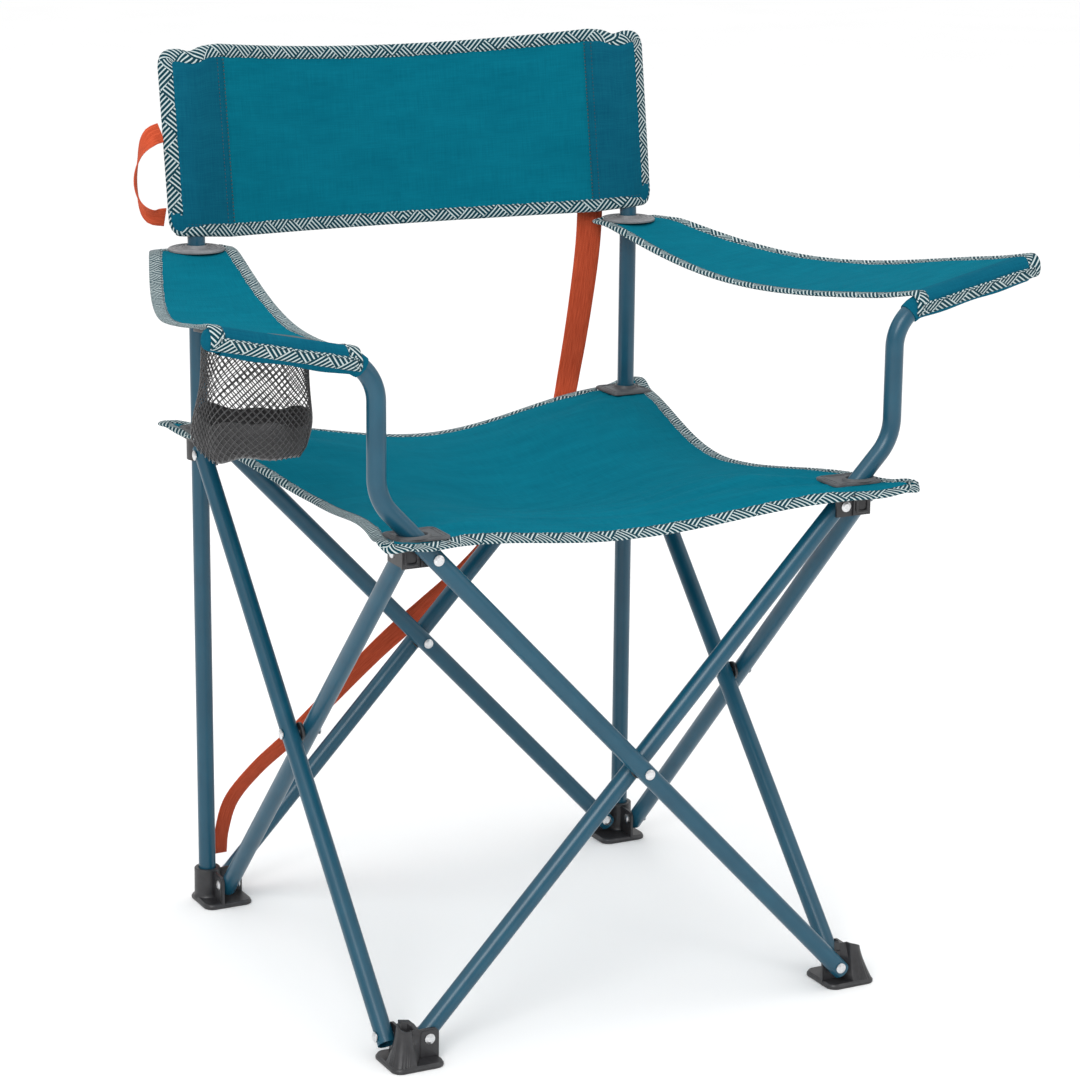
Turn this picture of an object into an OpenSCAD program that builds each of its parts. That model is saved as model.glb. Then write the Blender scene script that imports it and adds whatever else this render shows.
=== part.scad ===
// Quad-fold camping armchair: four scissor pairs of round steel tube, two rear poles,
// moulded feet and joints, and a cloth seat, back and arms.
// Millimetres, +Z up, front towards -Y, origin on the floor under the middle of the chair.

/* [Frame] */
// Outside diameter of every tube
tube_d = 16; // [15.5:0.1:16.2]
// Wall thickness of every tube
tube_wall = 1.2; // [0.8:0.1:2]
// Half of the distance between the two pivots at one end of a scissor
pivot_half = 198; // [190:1:210]
// Height of the lower pivots
pivot_low = 21; // [20:0.5:24]
// Height of the upper pivots
pivot_high = 440; // [436:1:444]
// Distance of a scissor's middle plane from the pivots beside it
plane_step = 22; // [21.8:0.1:22.2]
// Distance of a rear pole's axis from the pivots beside it
pole_step = 25; // [24.8:0.1:25.4]

/* [Poles and arms] */
// Height at which a rear pole bends back
pole_bend_z = 634; // [632:1:636]
// Backward lean of the top of a rear pole, in degrees
pole_lean = 8.7; // [8:0.1:9]
// Height of the top of a rear pole
pole_top_z = 788; // [782:1:790]
// Distance of an arm's upright tube from the middle of the chair
post_x = 249; // [246:1:252]
// Height at which the upright tube turns into the arm
arm_z = 604; // [600:1:606]
// Rise of the arm tube towards its end, in degrees
arm_rise = 12.3; // [11:0.1:13]
// Distance of the arm tube's end from the middle of the chair
arm_end_x = 388; // [384:1:392]
// Height of the ring that holds the arm on the pole
ring_z = 625; // [624:1:626]

/* [Cloth] */
// Thickness of the cloth with its hems
cloth_t = 1.6; // [1:0.1:2]
// Distance of the seat's corners from its middle, along X and along Y
seat_half = 248; // [244:1:250]
// How far the middle of each seat edge is pulled in
seat_pull = 42; // [36:1:46]
// Sag of the middle of the seat
seat_sag = 44; // [30:1:60]
// Backward bow of the middle of the backrest
back_bow = 38; // [30:1:44]

/* [Hidden] */
$fn = 48;

// Reach of the chair before and behind the scissors' middle, which puts the origin mid-way
front_reach = 251.5;
rear_reach = 286.7;
centre_y = (front_reach - rear_reach) / 2;

tube_r = tube_d / 2;
bore_r = tube_r - tube_wall;
tube_end = 8;                       // length of a tube past its end pivot
tube_gap = 9.5;                     // tube axis to the scissor's middle plane
plane = pivot_half + plane_step;    // scissor planes
pole = pivot_half + pole_step;      // rear poles, along X and along Y
rise = pivot_high - pivot_low;
open_angle = atan2(rise, 2 * pivot_half);
pivot_span = norm([rise, 2 * pivot_half]);

rivet_r = 2.5;
rivet_hole_r = 2.56;
head_r = 4.6;
head_t = 1.8;

lug_t = 2.4;                        // moulded wall that a tube turns against
lug_r = 9;
pole_clear_r = tube_r + 0.3;        // bore of what slides on a pole
collar_r = 12.4;
plate_low = pivot_high + 12.5;      // underside of the plate on each upper joint
plate_t = 3;
plate_half = 24;
seat_z = plate_low + plate_t + 0.3 + cloth_t / 2;
corner_plate_z = seat_z + cloth_t / 2 + 0.3;
corner_plate_t = 2.4;
corner_plate_half = 21;

foot_half = 24;
foot_mid = 213;
foot_base_t = 5;
foot_corner_r = 9;

bend_low_r = 45;                    // bend radius at the foot of an arm's upright
bend_high_r = 38;                   // bend radius where the upright turns into the arm
pole_bend_r = 60;

ring_r = 26;
ring_t = 2.4;
arm_cloth_z = ring_z - 0.3 - cloth_t / 2;

steel_blue = [0.13, 0.34, 0.45];
teal = [0.03, 0.43, 0.52];
dark_teal = [0.04, 0.31, 0.45];
moulded = [0.16, 0.16, 0.18];
plate_grey = [0.36, 0.37, 0.39];
orange = [0.82, 0.30, 0.16];
net_black = [0.07, 0.07, 0.08];

// --- Places -------------------------------------------------------------------------------

// Side k is the scissor plane at the front (0), right (1), rear (2) or left (3)
module side(k) translate([0, centre_y, 0]) rotate([0, 0, 90 * k]) children();

// A corner is where side k meets side k - 1: front left (0), front right (1), rear right (2),
// rear left (3). It is drawn as the front left one.
module corner(k) side(k) children();

// Left-hand pieces are drawn as they stand; right-hand ones are their mirror image
module hand(right) mirror([right ? 1 : 0, 0, 0]) children();

// --- Tubes --------------------------------------------------------------------------------

// Rings of a bent tube that starts at the origin along +Z and stays in the XZ plane: each step
// is [straight length, bend angle, bend radius], a positive bend turns towards +X, and each
// ring is [x, z, tilt from +Z]
bend_rings = 8;
function across_run(tilt) = [cos(tilt), -sin(tilt)];
function run_rings(steps, i = 0, at = [0, 0], tilt = 0) =
  i == len(steps) ? [[at.x, at.y, tilt]] :
  let (turn = steps[i][1],
       to_centre = sign(turn) * steps[i][2],
       straight_end = at + steps[i][0] * [sin(tilt), cos(tilt)],
       centre = straight_end + to_centre * across_run(tilt),
       bend = turn == 0 ? [] : [for (j = [0:bend_rings - 1])
         let (a = tilt + turn * j / bend_rings, c = centre - to_centre * across_run(a))
           [c.x, c.y, a]])
    concat([[at.x, at.y, tilt]], bend,
           run_rings(steps, i + 1, centre - to_centre * across_run(tilt + turn), tilt + turn));

// A hollow tube along such a run, with cross holes for its rivets at distances along it
tube_sides = 24;
module bent_tube(steps, holes) difference() {
  rings = run_rings(steps);
  last = len(rings) - 1;
  skin = (last + 1) * tube_sides;
  points = [for (r = [tube_r, bore_r], q = rings, k = [0:tube_sides - 1])
    let (a = 360 * k / tube_sides, w = r * cos(a) * across_run(q[2]))
      [q[0] + w.x, r * sin(a), q[1] + w.y]];
  quads = concat(
    [for (i = [0:last - 1], k = [0:tube_sides - 1])
      let (a = i * tube_sides + k, b = i * tube_sides + (k + 1) % tube_sides)
        each [[a, a + tube_sides, b + tube_sides, b],
              [skin + a, skin + b, skin + b + tube_sides, skin + a + tube_sides]]],
    [for (k = [0:tube_sides - 1])
      let (n = (k + 1) % tube_sides, top = last * tube_sides)
        each [[k, n, skin + n, skin + k],
              [top + k, skin + top + k, skin + top + n, top + n]]]);
  polyhedron(points = points, convexity = 8,
             faces = [for (q = quads) each [[q[0], q[1], q[2]], [q[0], q[2], q[3]]]]);
  for (z = holes)
    translate([0, 0, z]) rotate([90, 0, 0])
      cylinder(h = 2 * tube_d, r = rivet_hole_r, center = true);
}

// A straight tube with the same cross holes
module straight_tube(length, holes) difference() {
  cylinder(h = length, r = tube_r);
  translate([0, 0, -1]) cylinder(h = length + 2, r = bore_r);
  for (z = holes)
    translate([0, 0, z]) rotate([90, 0, 0])
      cylinder(h = 2 * tube_d, r = rivet_hole_r, center = true);
}

rivet_holes = [tube_end, tube_end + pivot_span / 2, tube_end + pivot_span];

// Puts a tube on side k, from its lower pivot up; the outer one leans the other way
module on_scissor(k, outer)
  side(k) translate([0, outer ? -plane - tube_gap : -plane + tube_gap, 0])
    mirror([outer ? 1 : 0, 0, 0])
      translate([-pivot_half, 0, pivot_low]) rotate([0, 90 - open_angle, 0])
        translate([0, 0, -tube_end]) children();

module cross_tube(k, outer) color(steel_blue)
  on_scissor(k, outer) straight_tube(pivot_span + 2 * tube_end, rivet_holes);

// An arm tube is a front cross tube that runs on past its upper pivot: up, then outwards
low_turn = 90 - open_angle;
high_turn = 90 - arm_rise;
low_tangent = bend_low_r * tan(low_turn / 2);
high_tangent = bend_high_r * tan(high_turn / 2);
post_low_z = pivot_high + (post_x - pivot_half) * tan(open_angle);
arm_steps = [
  [tube_end + pivot_span + (post_x - pivot_half) / cos(open_angle) - low_tangent,
   -low_turn, bend_low_r],
  [arm_z - post_low_z - low_tangent - high_tangent, high_turn, bend_high_r],
  [(arm_end_x - post_x) / cos(arm_rise) - high_tangent, 0, 0]];

module arm_tube(outer) color(steel_blue)
  on_scissor(0, outer) bent_tube(arm_steps, rivet_holes);

// Places its children at the end of the arm tube, +Z along it; y is the tube's own plane
function arm_tube_y(right) = right ? -plane + tube_gap : -plane - tube_gap;
module at_arm_end(right)
  translate([0, centre_y + arm_tube_y(right), 0]) hand(right)
    translate([-arm_end_x, 0, arm_z + (arm_end_x - post_x) * tan(arm_rise)])
      rotate([0, -90 + arm_rise, 0]) children();

module arm_cap(right) color(moulded) at_arm_end(right) {
  translate([0, 0, -12]) cylinder(h = 12, r = bore_r - 0.05);
  cylinder(h = 1.6, r = tube_r);
  translate([0, 0, 1.6]) cylinder(h = 1.2, r1 = tube_r, r2 = tube_r - 1.6);
}

// --- Rear poles ---------------------------------------------------------------------------

pole_foot_z = foot_base_t;
lean_tangent = pole_bend_r * tan(pole_lean / 2);
pole_tail = (pole_top_z - pole_bend_z) / cos(pole_lean) - lean_tangent;
pole_steps = [[pole_bend_z - lean_tangent - pole_foot_z, pole_lean, pole_bend_r],
              [pole_tail, 0, 0]];

module at_pole(right, z) translate([right ? pole : -pole, centre_y + pole, z]) children();

// Along the leaning top of a pole, measured from its bend
module along_lean(right) at_pole(right, pole_bend_z) rotate([-pole_lean, 0, 0]) children();

module rear_pole(right) color(steel_blue)
  at_pole(right, pole_foot_z) difference() {
    rotate([0, 0, 90]) bent_tube(pole_steps, []);
    translate([0, 0, stop_pin_z - pole_foot_z]) rotate([90, 0, 0])
      cylinder(h = 2 * tube_d, r = rivet_hole_r, center = true);
  }

module pole_cap(right) color(moulded)
  along_lean(right) translate([0, 0, pole_tail + lean_tangent]) {
    translate([0, 0, -10]) cylinder(h = 10, r = bore_r - 0.05);
    cylinder(h = 2, r = tube_r - 0.4);
  }

// A pin through the pole carries the arm's ring
stop_pin_z = ring_z - ring_t / 2 - cloth_t - 4.2;
module stop_pin(right) color("silver")
  at_pole(right, stop_pin_z) rotate([90, 0, 0]) {
    cylinder(h = tube_d + 2, r = rivet_r, center = true);
    for (s = [-1, 1]) translate([0, 0, s * (tube_r + 1.7)])
      cylinder(h = 1.4, r = 3, center = true);
  }

// --- Moulded feet and joints --------------------------------------------------------------

// A flat plate with round corners, standing on z = 0
module round_plate(half, t, r) {
  translate([-half + r, -half, 0]) cube([2 * (half - r), 2 * half, t]);
  translate([-half, -half + r, 0]) cube([2 * half, 2 * (half - r), t]);
  for (x = [-1, 1], y = [-1, 1])
    translate([x * (half - r), y * (half - r), 0]) cylinder(h = t, r = r);
}

// One wall of a joint, in the plane y = -plane, round the pivot at x = -pivot_half. It runs
// from the corner to a little past the pivot, and from low to high.
module lug(pivot_z, low, high, reach) difference() {
  translate([-pole, -plane - lug_t / 2, low]) cube([pole_step + reach, lug_t, high - low]);
  translate([-pivot_half, -plane, pivot_z]) rotate([90, 0, 0])
    cylinder(h = 2 * lug_t, r = rivet_hole_r - 0.01, center = true);
}

// The same wall in the plane x = -plane
module side_lug(pivot_z, low, high, reach)
  mirror([1, -1, 0]) lug(pivot_z, low, high, reach);

// A rivet along Y at the origin: a shank over length, with a round head at each end
module rivet(length) rotate([90, 0, 0]) {
  cylinder(h = length, r = rivet_r, center = true);
  for (s = [0, 1]) mirror([0, 0, s]) translate([0, 0, length / 2]) {
    cylinder(h = head_t * 0.5, r = head_r);
    translate([0, 0, head_t * 0.5]) cylinder(h = head_t * 0.5, r1 = head_r, r2 = head_r * 0.55);
  }
}

// Rivet from the free face of a lug to the far side of its tube, at +Y (inside) or -Y
rivet_length = lug_t / 2 + tube_gap + tube_r + 0.2;
rivet_shift = (tube_gap + tube_r + 0.2 - lug_t / 2) / 2;
module lug_rivet(pivot_z, inside)
  translate([-pivot_half, -plane + (inside ? rivet_shift : -rivet_shift), pivot_z])
    rivet(rivet_length);

// At a foot the tube in the y plane lies inside; at an upper joint it lies outside
module foot_rivets(k) color("silver") corner(k) {
  lug_rivet(pivot_low, true);
  mirror([1, -1, 0]) lug_rivet(pivot_low, false);
}
module joint_rivets(k) color("silver") corner(k) {
  lug_rivet(pivot_high, false);
  mirror([1, -1, 0]) lug_rivet(pivot_high, true);
}

foot_lug_top = pivot_low + lug_r;
socket_top = 32;

module foot_shell() {
  translate([-foot_mid, -foot_mid, 0]) round_plate(foot_half, foot_base_t, foot_corner_r);
  lug(pivot_low, 0, foot_lug_top, lug_r);
  side_lug(pivot_low, 0, foot_lug_top, lug_r);
}

// A rear foot holds the pole in a socket; a front one has a closed tapered post
module rear_foot(k) color(moulded) corner(k) difference() {
  union() {
    foot_shell();
    translate([-pole, -pole, 0]) cylinder(h = socket_top, r = collar_r);
  }
  translate([-pole, -pole, pole_foot_z]) cylinder(h = socket_top, r = tube_r);
}

module front_foot(k) color(moulded) corner(k) {
  foot_shell();
  translate([-pole, -pole, 0]) cylinder(h = 14, r = collar_r);
  translate([-pole, -pole, 14]) cylinder(h = socket_top - 14, r1 = collar_r, r2 = 7);
}

// Upper joints: a plate under the seat with the two lugs below it
joint_low = pivot_high - lug_r;
module joint_plate(x, y) translate([x, y, plate_low]) round_plate(plate_half, plate_t, 5);

module slider(k) color(moulded) corner(k) difference() {
  union() {
    joint_plate(-pole + 7, -pole + 7);
    lug(pivot_high, joint_low, plate_low, lug_r);
    side_lug(pivot_high, joint_low, plate_low, lug_r);
    translate([-pole, -pole, joint_low]) cylinder(h = plate_low - joint_low, r = collar_r);
  }
  translate([-pole, -pole, joint_low - 1]) cylinder(h = 40, r = pole_clear_r);
}

// Slot that the arm tube leans through, from its open place to its folded one
slot_half = tube_r + 0.4;
slot_inner = pivot_half - tube_r + 1;
slot_outer = pivot_half + (corner_plate_z + corner_plate_t - pivot_high) / tan(open_angle)
             + tube_r / sin(open_angle) + 0.6;
module arm_slot(tube_y, low, high)
  translate([-slot_outer, tube_y - slot_half, low])
    cube([slot_outer - slot_inner, 2 * slot_half, high - low]);

// Front joint; its second lug stops short of the plane that the arm tube turns in
module bracket(right) color(moulded)
  translate([0, centre_y, 0]) hand(right) difference() {
    union() {
      joint_plate(-213, -222);
      lug(pivot_high, joint_low, plate_low, lug_r);
      translate([-plane - lug_t / 2, right ? -pivot_half - 7 : -plane, joint_low])
        cube([lug_t, (right ? 7 : plane_step) + lug_r, plate_low - joint_low]);
    }
    translate([-plane, -pivot_half, pivot_high]) rotate([0, 90, 0])
      cylinder(h = 3 * lug_t, r = rivet_hole_r - 0.01, center = true);
    arm_slot(arm_tube_y(right), plate_low - 1, plate_low + plate_t + 1);
  }

// Grey plates on top of the seat's corners
module seat_plate(front, right) color(plate_grey)
  translate([0, centre_y, 0]) hand(right) translate([0, 0, corner_plate_z])
    if (front)
      difference() {
        translate([-211, arm_tube_y(right), 0]) round_plate(corner_plate_half + 1, corner_plate_t, 4);
        arm_slot(arm_tube_y(right), -1, corner_plate_t + 1);
      }
    else
      difference() {
        translate([-pole + 5, pole - 5, 0]) round_plate(corner_plate_half, corner_plate_t, 4);
        translate([-pole, pole, -1]) cylinder(h = 10, r = pole_clear_r);
      }

// Rivet and spacer where the two tubes of a scissor cross
cross_z = (pivot_low + pivot_high) / 2;
module cross_rivet(k) color("silver")
  side(k) translate([0, -plane, cross_z]) rivet(2 * (tube_gap + tube_r) + 0.4);

module cross_spacer(k) color(moulded)
  side(k) translate([0, -plane, cross_z]) rotate([90, 0, 0]) difference() {
    cylinder(h = 2 * (tube_gap - tube_r) - 0.2, r = 8.5, center = true);
    cylinder(h = 10, r = rivet_hole_r, center = true);
  }

// --- Cloth --------------------------------------------------------------------------------

// A closed sheet over a grid: mid(u, v) is its middle surface for u and v from 0 to 1, and
// the two faces lie half of the thickness vector to each side
module sheet(mid, nu, nv, thick) {
  count = (nu + 1) * (nv + 1);
  top = [for (i = [0:nu], j = [0:nv]) mid(i / nu, j / nv) + thick / 2];
  bottom = [for (i = [0:nu], j = [0:nv]) mid(i / nu, j / nv) - thick / 2];
  rim = concat([for (i = [0:nu - 1]) i * (nv + 1)],
               [for (j = [0:nv - 1]) nu * (nv + 1) + j],
               [for (i = [nu:-1:1]) i * (nv + 1) + nv],
               [for (j = [nv:-1:1]) j]);
  cells = [for (i = [0:nu - 1], j = [0:nv - 1])
    let (a = i * (nv + 1) + j) [a, a + nv + 1, a + nv + 2, a + 1]];
  faces = concat(
    [for (c = cells) each [[c[0], c[2], c[1]], [c[0], c[3], c[2]]]],
    [for (c = cells) each [[c[0] + count, c[1] + count, c[2] + count],
                           [c[0] + count, c[2] + count, c[3] + count]]],
    [for (k = [0:len(rim) - 1])
      let (a = rim[k], b = rim[(k + 1) % len(rim)])
        each [[a, b, b + count], [a, b + count, a + count]]]);
  polyhedron(points = concat(top, bottom), faces = faces, convexity = 6);
}

// Sag profile: 0 over the corner plates and 1 in the middle
seat_flat = 0.78;
function dip(s) = abs(s) < seat_flat ? (1 + cos(180 * s / seat_flat)) / 2 : 0;
edge_sag = 20;
function seat_drop(s, t) =
  edge_sag * (dip(s) + dip(t) - dip(s) * dip(t)) + (seat_sag - edge_sag) * dip(s) * dip(t);

// Point of the seat for s and t from -1 to 1
function seat_point(s, t) = [
  s * (seat_half - seat_pull * (1 - t * t)),
  t * (seat_half - seat_pull * (1 - s * s)),
  seat_z - seat_drop(s, t)];

// The seat in two halves that swing down from the front and rear joints
seam = 0.0015;
module seat(front) color(teal)
  translate([0, centre_y, 0]) difference() {
    sheet(function (u, v) seat_point(2 * u - 1, front ? -1 + (1 - seam) * v : seam + (1 - seam) * v),
          20, 10, [0, 0, cloth_t]);
    for (right = [false, true]) hand(right)
      if (front) arm_slot(arm_tube_y(right), seat_z - 10, seat_z + 10);
      else translate([-pole, pole, seat_z - 10]) cylinder(h = 20, r = pole_clear_r);
  }

// Backrest: panel between the sleeves, bowed back; x along the chair, h from 0 to 1 upwards
back_low = 636;
back_high = 797;
seam_x = 189;
edge_x = 247;
function lean_y(z) = pole + (z - pole_bend_z) * tan(pole_lean);
function back_point(x, h) =
  let (bow = 1 - pow(x / seam_x, 2),
       z = back_low - 5 * bow + h * (back_high - back_low - 4 * bow + 9))
    [x, lean_y(z) + back_bow * bow, z];

module back_panel(right) color(teal)
  translate([0, centre_y, 0]) hand(right)
    sheet(function (u, v) back_point(-seam_x + u * (seam_x - 0.3), 1 - v), 12, 6, [0, cloth_t, 0]);

// A flat sleeve swollen by the pole inside it, closed at the top
sleeve_low = 3;
sleeve_len = (back_high - back_low) / cos(pole_lean);
module sleeve_section() union() {
  circle(r = tube_r + 2);
  polygon([[pole - edge_x, -1], [-6, -tube_r - 0.6], [6, -tube_r - 0.6], [pole - seam_x - 0.5, -1],
           [pole - seam_x - 0.5, 1], [6, tube_r + 0.6], [-6, tube_r + 0.6], [pole - edge_x, 1]]);
}
module back_sleeve(right) color(dark_teal)
  along_lean(right) mirror([right ? 1 : 0, 0, 0]) difference() {
    translate([0, 0, sleeve_low]) linear_extrude(sleeve_len) sleeve_section();
    translate([0, 0, -1]) cylinder(h = pole_tail + lean_tangent + 4, r = tube_r + 0.4);
  }

// Armrest: from the sleeve on the arm tube back to the ring on the pole
sleeve_in = 266;                    // where the sleeve starts and ends along X
sleeve_out = 386;
arm_sag = 20;
function tube_z(x) = arm_z + (abs(x) - post_x) * tan(arm_rise);
// Inner and outer edges of a left armrest, from front (0) to rear (1)
function arm_inner_x(v) = -sleeve_in + 81 * v + 4 * sin(180 * v);
function arm_outer_x(v) = -sleeve_out + 125 * v - 14 * sin(180 * v);
function arm_point(u, v, tube_y) =
  let (x = arm_inner_x(v) * (1 - u) + arm_outer_x(v) * u,
       front_y = tube_y + 14,
       y = front_y + (pole + 17 - front_y) * v,
       front_z = tube_z(x) - 2,
       ease = v * v * (3 - 2 * v))
    [x, y, front_z * (1 - ease) + arm_cloth_z * ease - arm_sag * sin(180 * min(1, v * 1.14))];

cup_x = -318;
cup_y = -150;
cup_r = 43;
cup_depth = 80;
cup_top = 608;
cup_ring_r = cup_r + 4;
cup_hole_r = cup_ring_r + 1;        // hole in the left armrest, round the ring

module armrest(right) color(teal)
  translate([0, centre_y, 0]) hand(right) difference() {
    sheet(function (u, v) arm_point(u, 1 - v, arm_tube_y(right)), 8, 18, [0, 0, cloth_t]);
    translate([-pole, pole, ring_z - 30]) cylinder(h = 60, r = pole_clear_r);
    if (!right) translate([cup_x, cup_y, cup_top - 30]) cylinder(h = 80, r = cup_hole_r);
  }

// Sleeve sewn round the straight end of the arm tube
sleeve_start = 281;
module arm_sleeve(right) color(dark_teal)
  at_arm_end(right) difference() {
    translate([0, 0, -(sleeve_out - sleeve_start) / cos(arm_rise)])
      cylinder(h = (sleeve_out - sleeve_start) / cos(arm_rise) - 1, r = tube_r + 2.4);
    translate([0, 0, -200]) cylinder(h = 240, r = tube_r + 0.4);
  }

// Flat ring that the pole passes through, on top of the armrest's rear end
module arm_ring(right) color(plate_grey)
  at_pole(right, ring_z) difference() {
    union() {
      cylinder(h = ring_t, r = ring_r);
      translate([0, 0, ring_t]) cylinder(h = 0.8, r1 = ring_r - 5, r2 = ring_r - 7);
    }
    translate([0, 0, -1]) cylinder(h = 10, r = pole_clear_r);
  }

// Cup holder: a stiff ring in the left armrest and a mesh bag below it
module cup_ring() color(plate_grey)
  translate([cup_x, centre_y + cup_y, cup_top - 6]) difference() {
    cylinder(h = 3, r = cup_ring_r);
    translate([0, 0, -1]) cylinder(h = 5, r = cup_r - 1);
  }
module cup_bag() color(net_black)
  translate([cup_x, centre_y + cup_y, cup_top - 6 - cup_depth]) difference() {
    cylinder(h = cup_depth - 0.3, r = cup_r + 2);
    translate([0, 0, 2]) cylinder(h = cup_depth, r = cup_r);
  }

// --- Straps -------------------------------------------------------------------------------

strap_w = 25;
strap_t = 1.4;

// A ribbon along points, with its width across each given direction
module ribbon(path, across) {
  last = len(path) - 1;
  way = [for (i = [0:last])
    let (a = path[max(i - 1, 0)], b = path[min(i + 1, last)]) (b - a) / norm(b - a)];
  wide = [for (i = [0:last])
    let (w = across[i] - way[i] * (across[i] * way[i])) w / norm(w) * strap_w / 2];
  deep = [for (i = [0:last]) cross(way[i], wide[i]) / norm(wide[i]) * strap_t / 2];
  points = [for (i = [0:last])
    each [path[i] + wide[i] + deep[i], path[i] - wide[i] + deep[i],
          path[i] - wide[i] - deep[i], path[i] + wide[i] - deep[i]]];
  faces = concat(
    [[0, 1, 2], [0, 2, 3]],
    [[4 * last + 2, 4 * last + 1, 4 * last], [4 * last + 3, 4 * last + 2, 4 * last]],
    [for (i = [0:last - 1], k = [0:3])
      let (a = 4 * i + k, b = 4 * i + (k + 1) % 4)
        each [[a, b + 4, b], [a, a + 4, b + 4]]]);
  polyhedron(points = points, faces = faces, convexity = 10);
}

// Carrying strap, from the backrest's right seam down behind the rear tubes to the left foot
strap_route = [
  [196, 250, 654], [192, 247, 600], [186, 250, 540], [178, 254, 480], [166, 256, 420],
  [142, 256, 370], [108, 256, 325], [66, 256, 285], [20, 257, 250], [-28, 257, 215],
  [-76, 257, 175], [-118, 257, 140], [-156, 257, 112], [-184, 256, 84], [-196, 252, 56],
  [-200, 248, 34]];
strap_across = [for (p = strap_route) [1, p[2] > 500 ? 0.2 : 0.5, 0.15]];
module long_strap() color(orange) translate([0, centre_y, 0]) ribbon(strap_route, strap_across);

// Small loop on the backrest's left edge
loop_route = [
  [-249, 239, 731], [-259, 238, 727], [-270, 237, 712], [-275.5, 236, 690], [-272, 235, 670],
  [-262, 234, 657], [-249, 233, 655]];
module strap_loop() color(orange)
  translate([0, centre_y, 0]) ribbon(loop_route, [for (p = loop_route) [0, 1, 0]]);

rear_foot(3);  // rear_left_foot
rear_foot(2);  // rear_right_foot
front_foot(0);  // front_left_foot
front_foot(1);  // front_right_foot
foot_rivets(3);  // rear_left_foot_rivets
foot_rivets(2);  // rear_right_foot_rivets
foot_rivets(0);  // front_left_foot_rivets
foot_rivets(1);  // front_right_foot_rivets
slider(3);  // rear_left_slider
slider(2);  // rear_right_slider
bracket(false);  // front_left_bracket
bracket(true);  // front_right_bracket
joint_rivets(3);  // rear_left_slider_rivets
joint_rivets(2);  // rear_right_slider_rivets
joint_rivets(0);  // front_left_bracket_rivets
joint_rivets(1);  // front_right_bracket_rivets
rear_pole(false);  // rear_left_pole
rear_pole(true);  // rear_right_pole
pole_cap(false);  // rear_left_pole_cap
pole_cap(true);  // rear_right_pole_cap
stop_pin(false);  // rear_left_stop_pin
stop_pin(true);  // rear_right_stop_pin
arm_tube(true);  // left_arm_tube
arm_tube(false);  // right_arm_tube
arm_cap(false);  // left_arm_cap
arm_cap(true);  // right_arm_cap
cross_tube(2, true);  // rear_outer_tube
cross_tube(2, false);  // rear_inner_tube
cross_tube(3, true);  // left_outer_tube
cross_tube(3, false);  // left_inner_tube
cross_tube(1, true);  // right_outer_tube
cross_tube(1, false);  // right_inner_tube
cross_rivet(0);  // front_cross_rivet
cross_rivet(1);  // right_cross_rivet
cross_rivet(2);  // rear_cross_rivet
cross_rivet(3);  // left_cross_rivet
cross_spacer(0);  // front_cross_spacer
cross_spacer(1);  // right_cross_spacer
cross_spacer(2);  // rear_cross_spacer
cross_spacer(3);  // left_cross_spacer
seat_plate(true, false);  // front_left_seat_plate
seat_plate(true, true);  // front_right_seat_plate
seat_plate(false, false);  // rear_left_seat_plate
seat_plate(false, true);  // rear_right_seat_plate
seat(true);  // seat_front
seat(false);  // seat_rear
back_panel(false);  // back_left_panel
back_panel(true);  // back_right_panel
back_sleeve(false);  // back_left_sleeve
back_sleeve(true);  // back_right_sleeve
arm_ring(false);  // left_arm_ring
arm_ring(true);  // right_arm_ring
armrest(false);  // left_armrest
armrest(true);  // right_armrest
arm_sleeve(false);  // left_arm_sleeve
arm_sleeve(true);  // right_arm_sleeve
cup_ring();
cup_bag();
long_strap();
strap_loop();
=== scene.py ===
import math

import bmesh
import bpy
import numpy as np
from mathutils import Matrix, Vector


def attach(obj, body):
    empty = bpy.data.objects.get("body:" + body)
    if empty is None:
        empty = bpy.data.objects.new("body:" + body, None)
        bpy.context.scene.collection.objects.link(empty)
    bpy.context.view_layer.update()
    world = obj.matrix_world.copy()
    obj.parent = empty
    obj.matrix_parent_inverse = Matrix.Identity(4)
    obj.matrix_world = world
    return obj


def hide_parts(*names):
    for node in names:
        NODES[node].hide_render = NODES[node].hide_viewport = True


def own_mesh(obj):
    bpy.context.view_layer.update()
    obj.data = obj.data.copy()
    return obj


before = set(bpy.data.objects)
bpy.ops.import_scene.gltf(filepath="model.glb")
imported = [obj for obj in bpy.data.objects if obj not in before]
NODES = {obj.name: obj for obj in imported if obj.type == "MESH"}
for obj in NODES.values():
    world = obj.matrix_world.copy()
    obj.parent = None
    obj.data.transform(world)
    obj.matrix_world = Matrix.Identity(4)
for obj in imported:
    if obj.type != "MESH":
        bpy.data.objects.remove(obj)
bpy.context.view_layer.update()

# Lengths are in millimetres from the middle of the scissors; place() turns them into metres in the
# frame of the CAD, whose middle is CENTRE_Y from there.
CENTRE_Y = -17.6
TUBE_R, BORE_R = 8.0, 6.8
PIVOT_HALF, PIVOT_LOW, PIVOT_HIGH = 198.0, 21.0, 440.0
PLANE, POLE, TUBE_GAP, TUBE_END = 220.0, 223.0, 9.5, 8.0
OPEN = math.atan2(PIVOT_HIGH - PIVOT_LOW, 2 * PIVOT_HALF)
POST_X, ARM_Z, ARM_RISE, ARM_END_X = 249.0, 604.0, math.radians(12.3), 388.0
POLE_BEND_Z, POLE_LEAN, POLE_TOP_Z = 634.0, math.radians(8.7), 788.0
SEAT_Z, RING_Z = 456.6, 625.0
SIDE = ("left", "right")
rng = np.random.default_rng(7)

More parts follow.
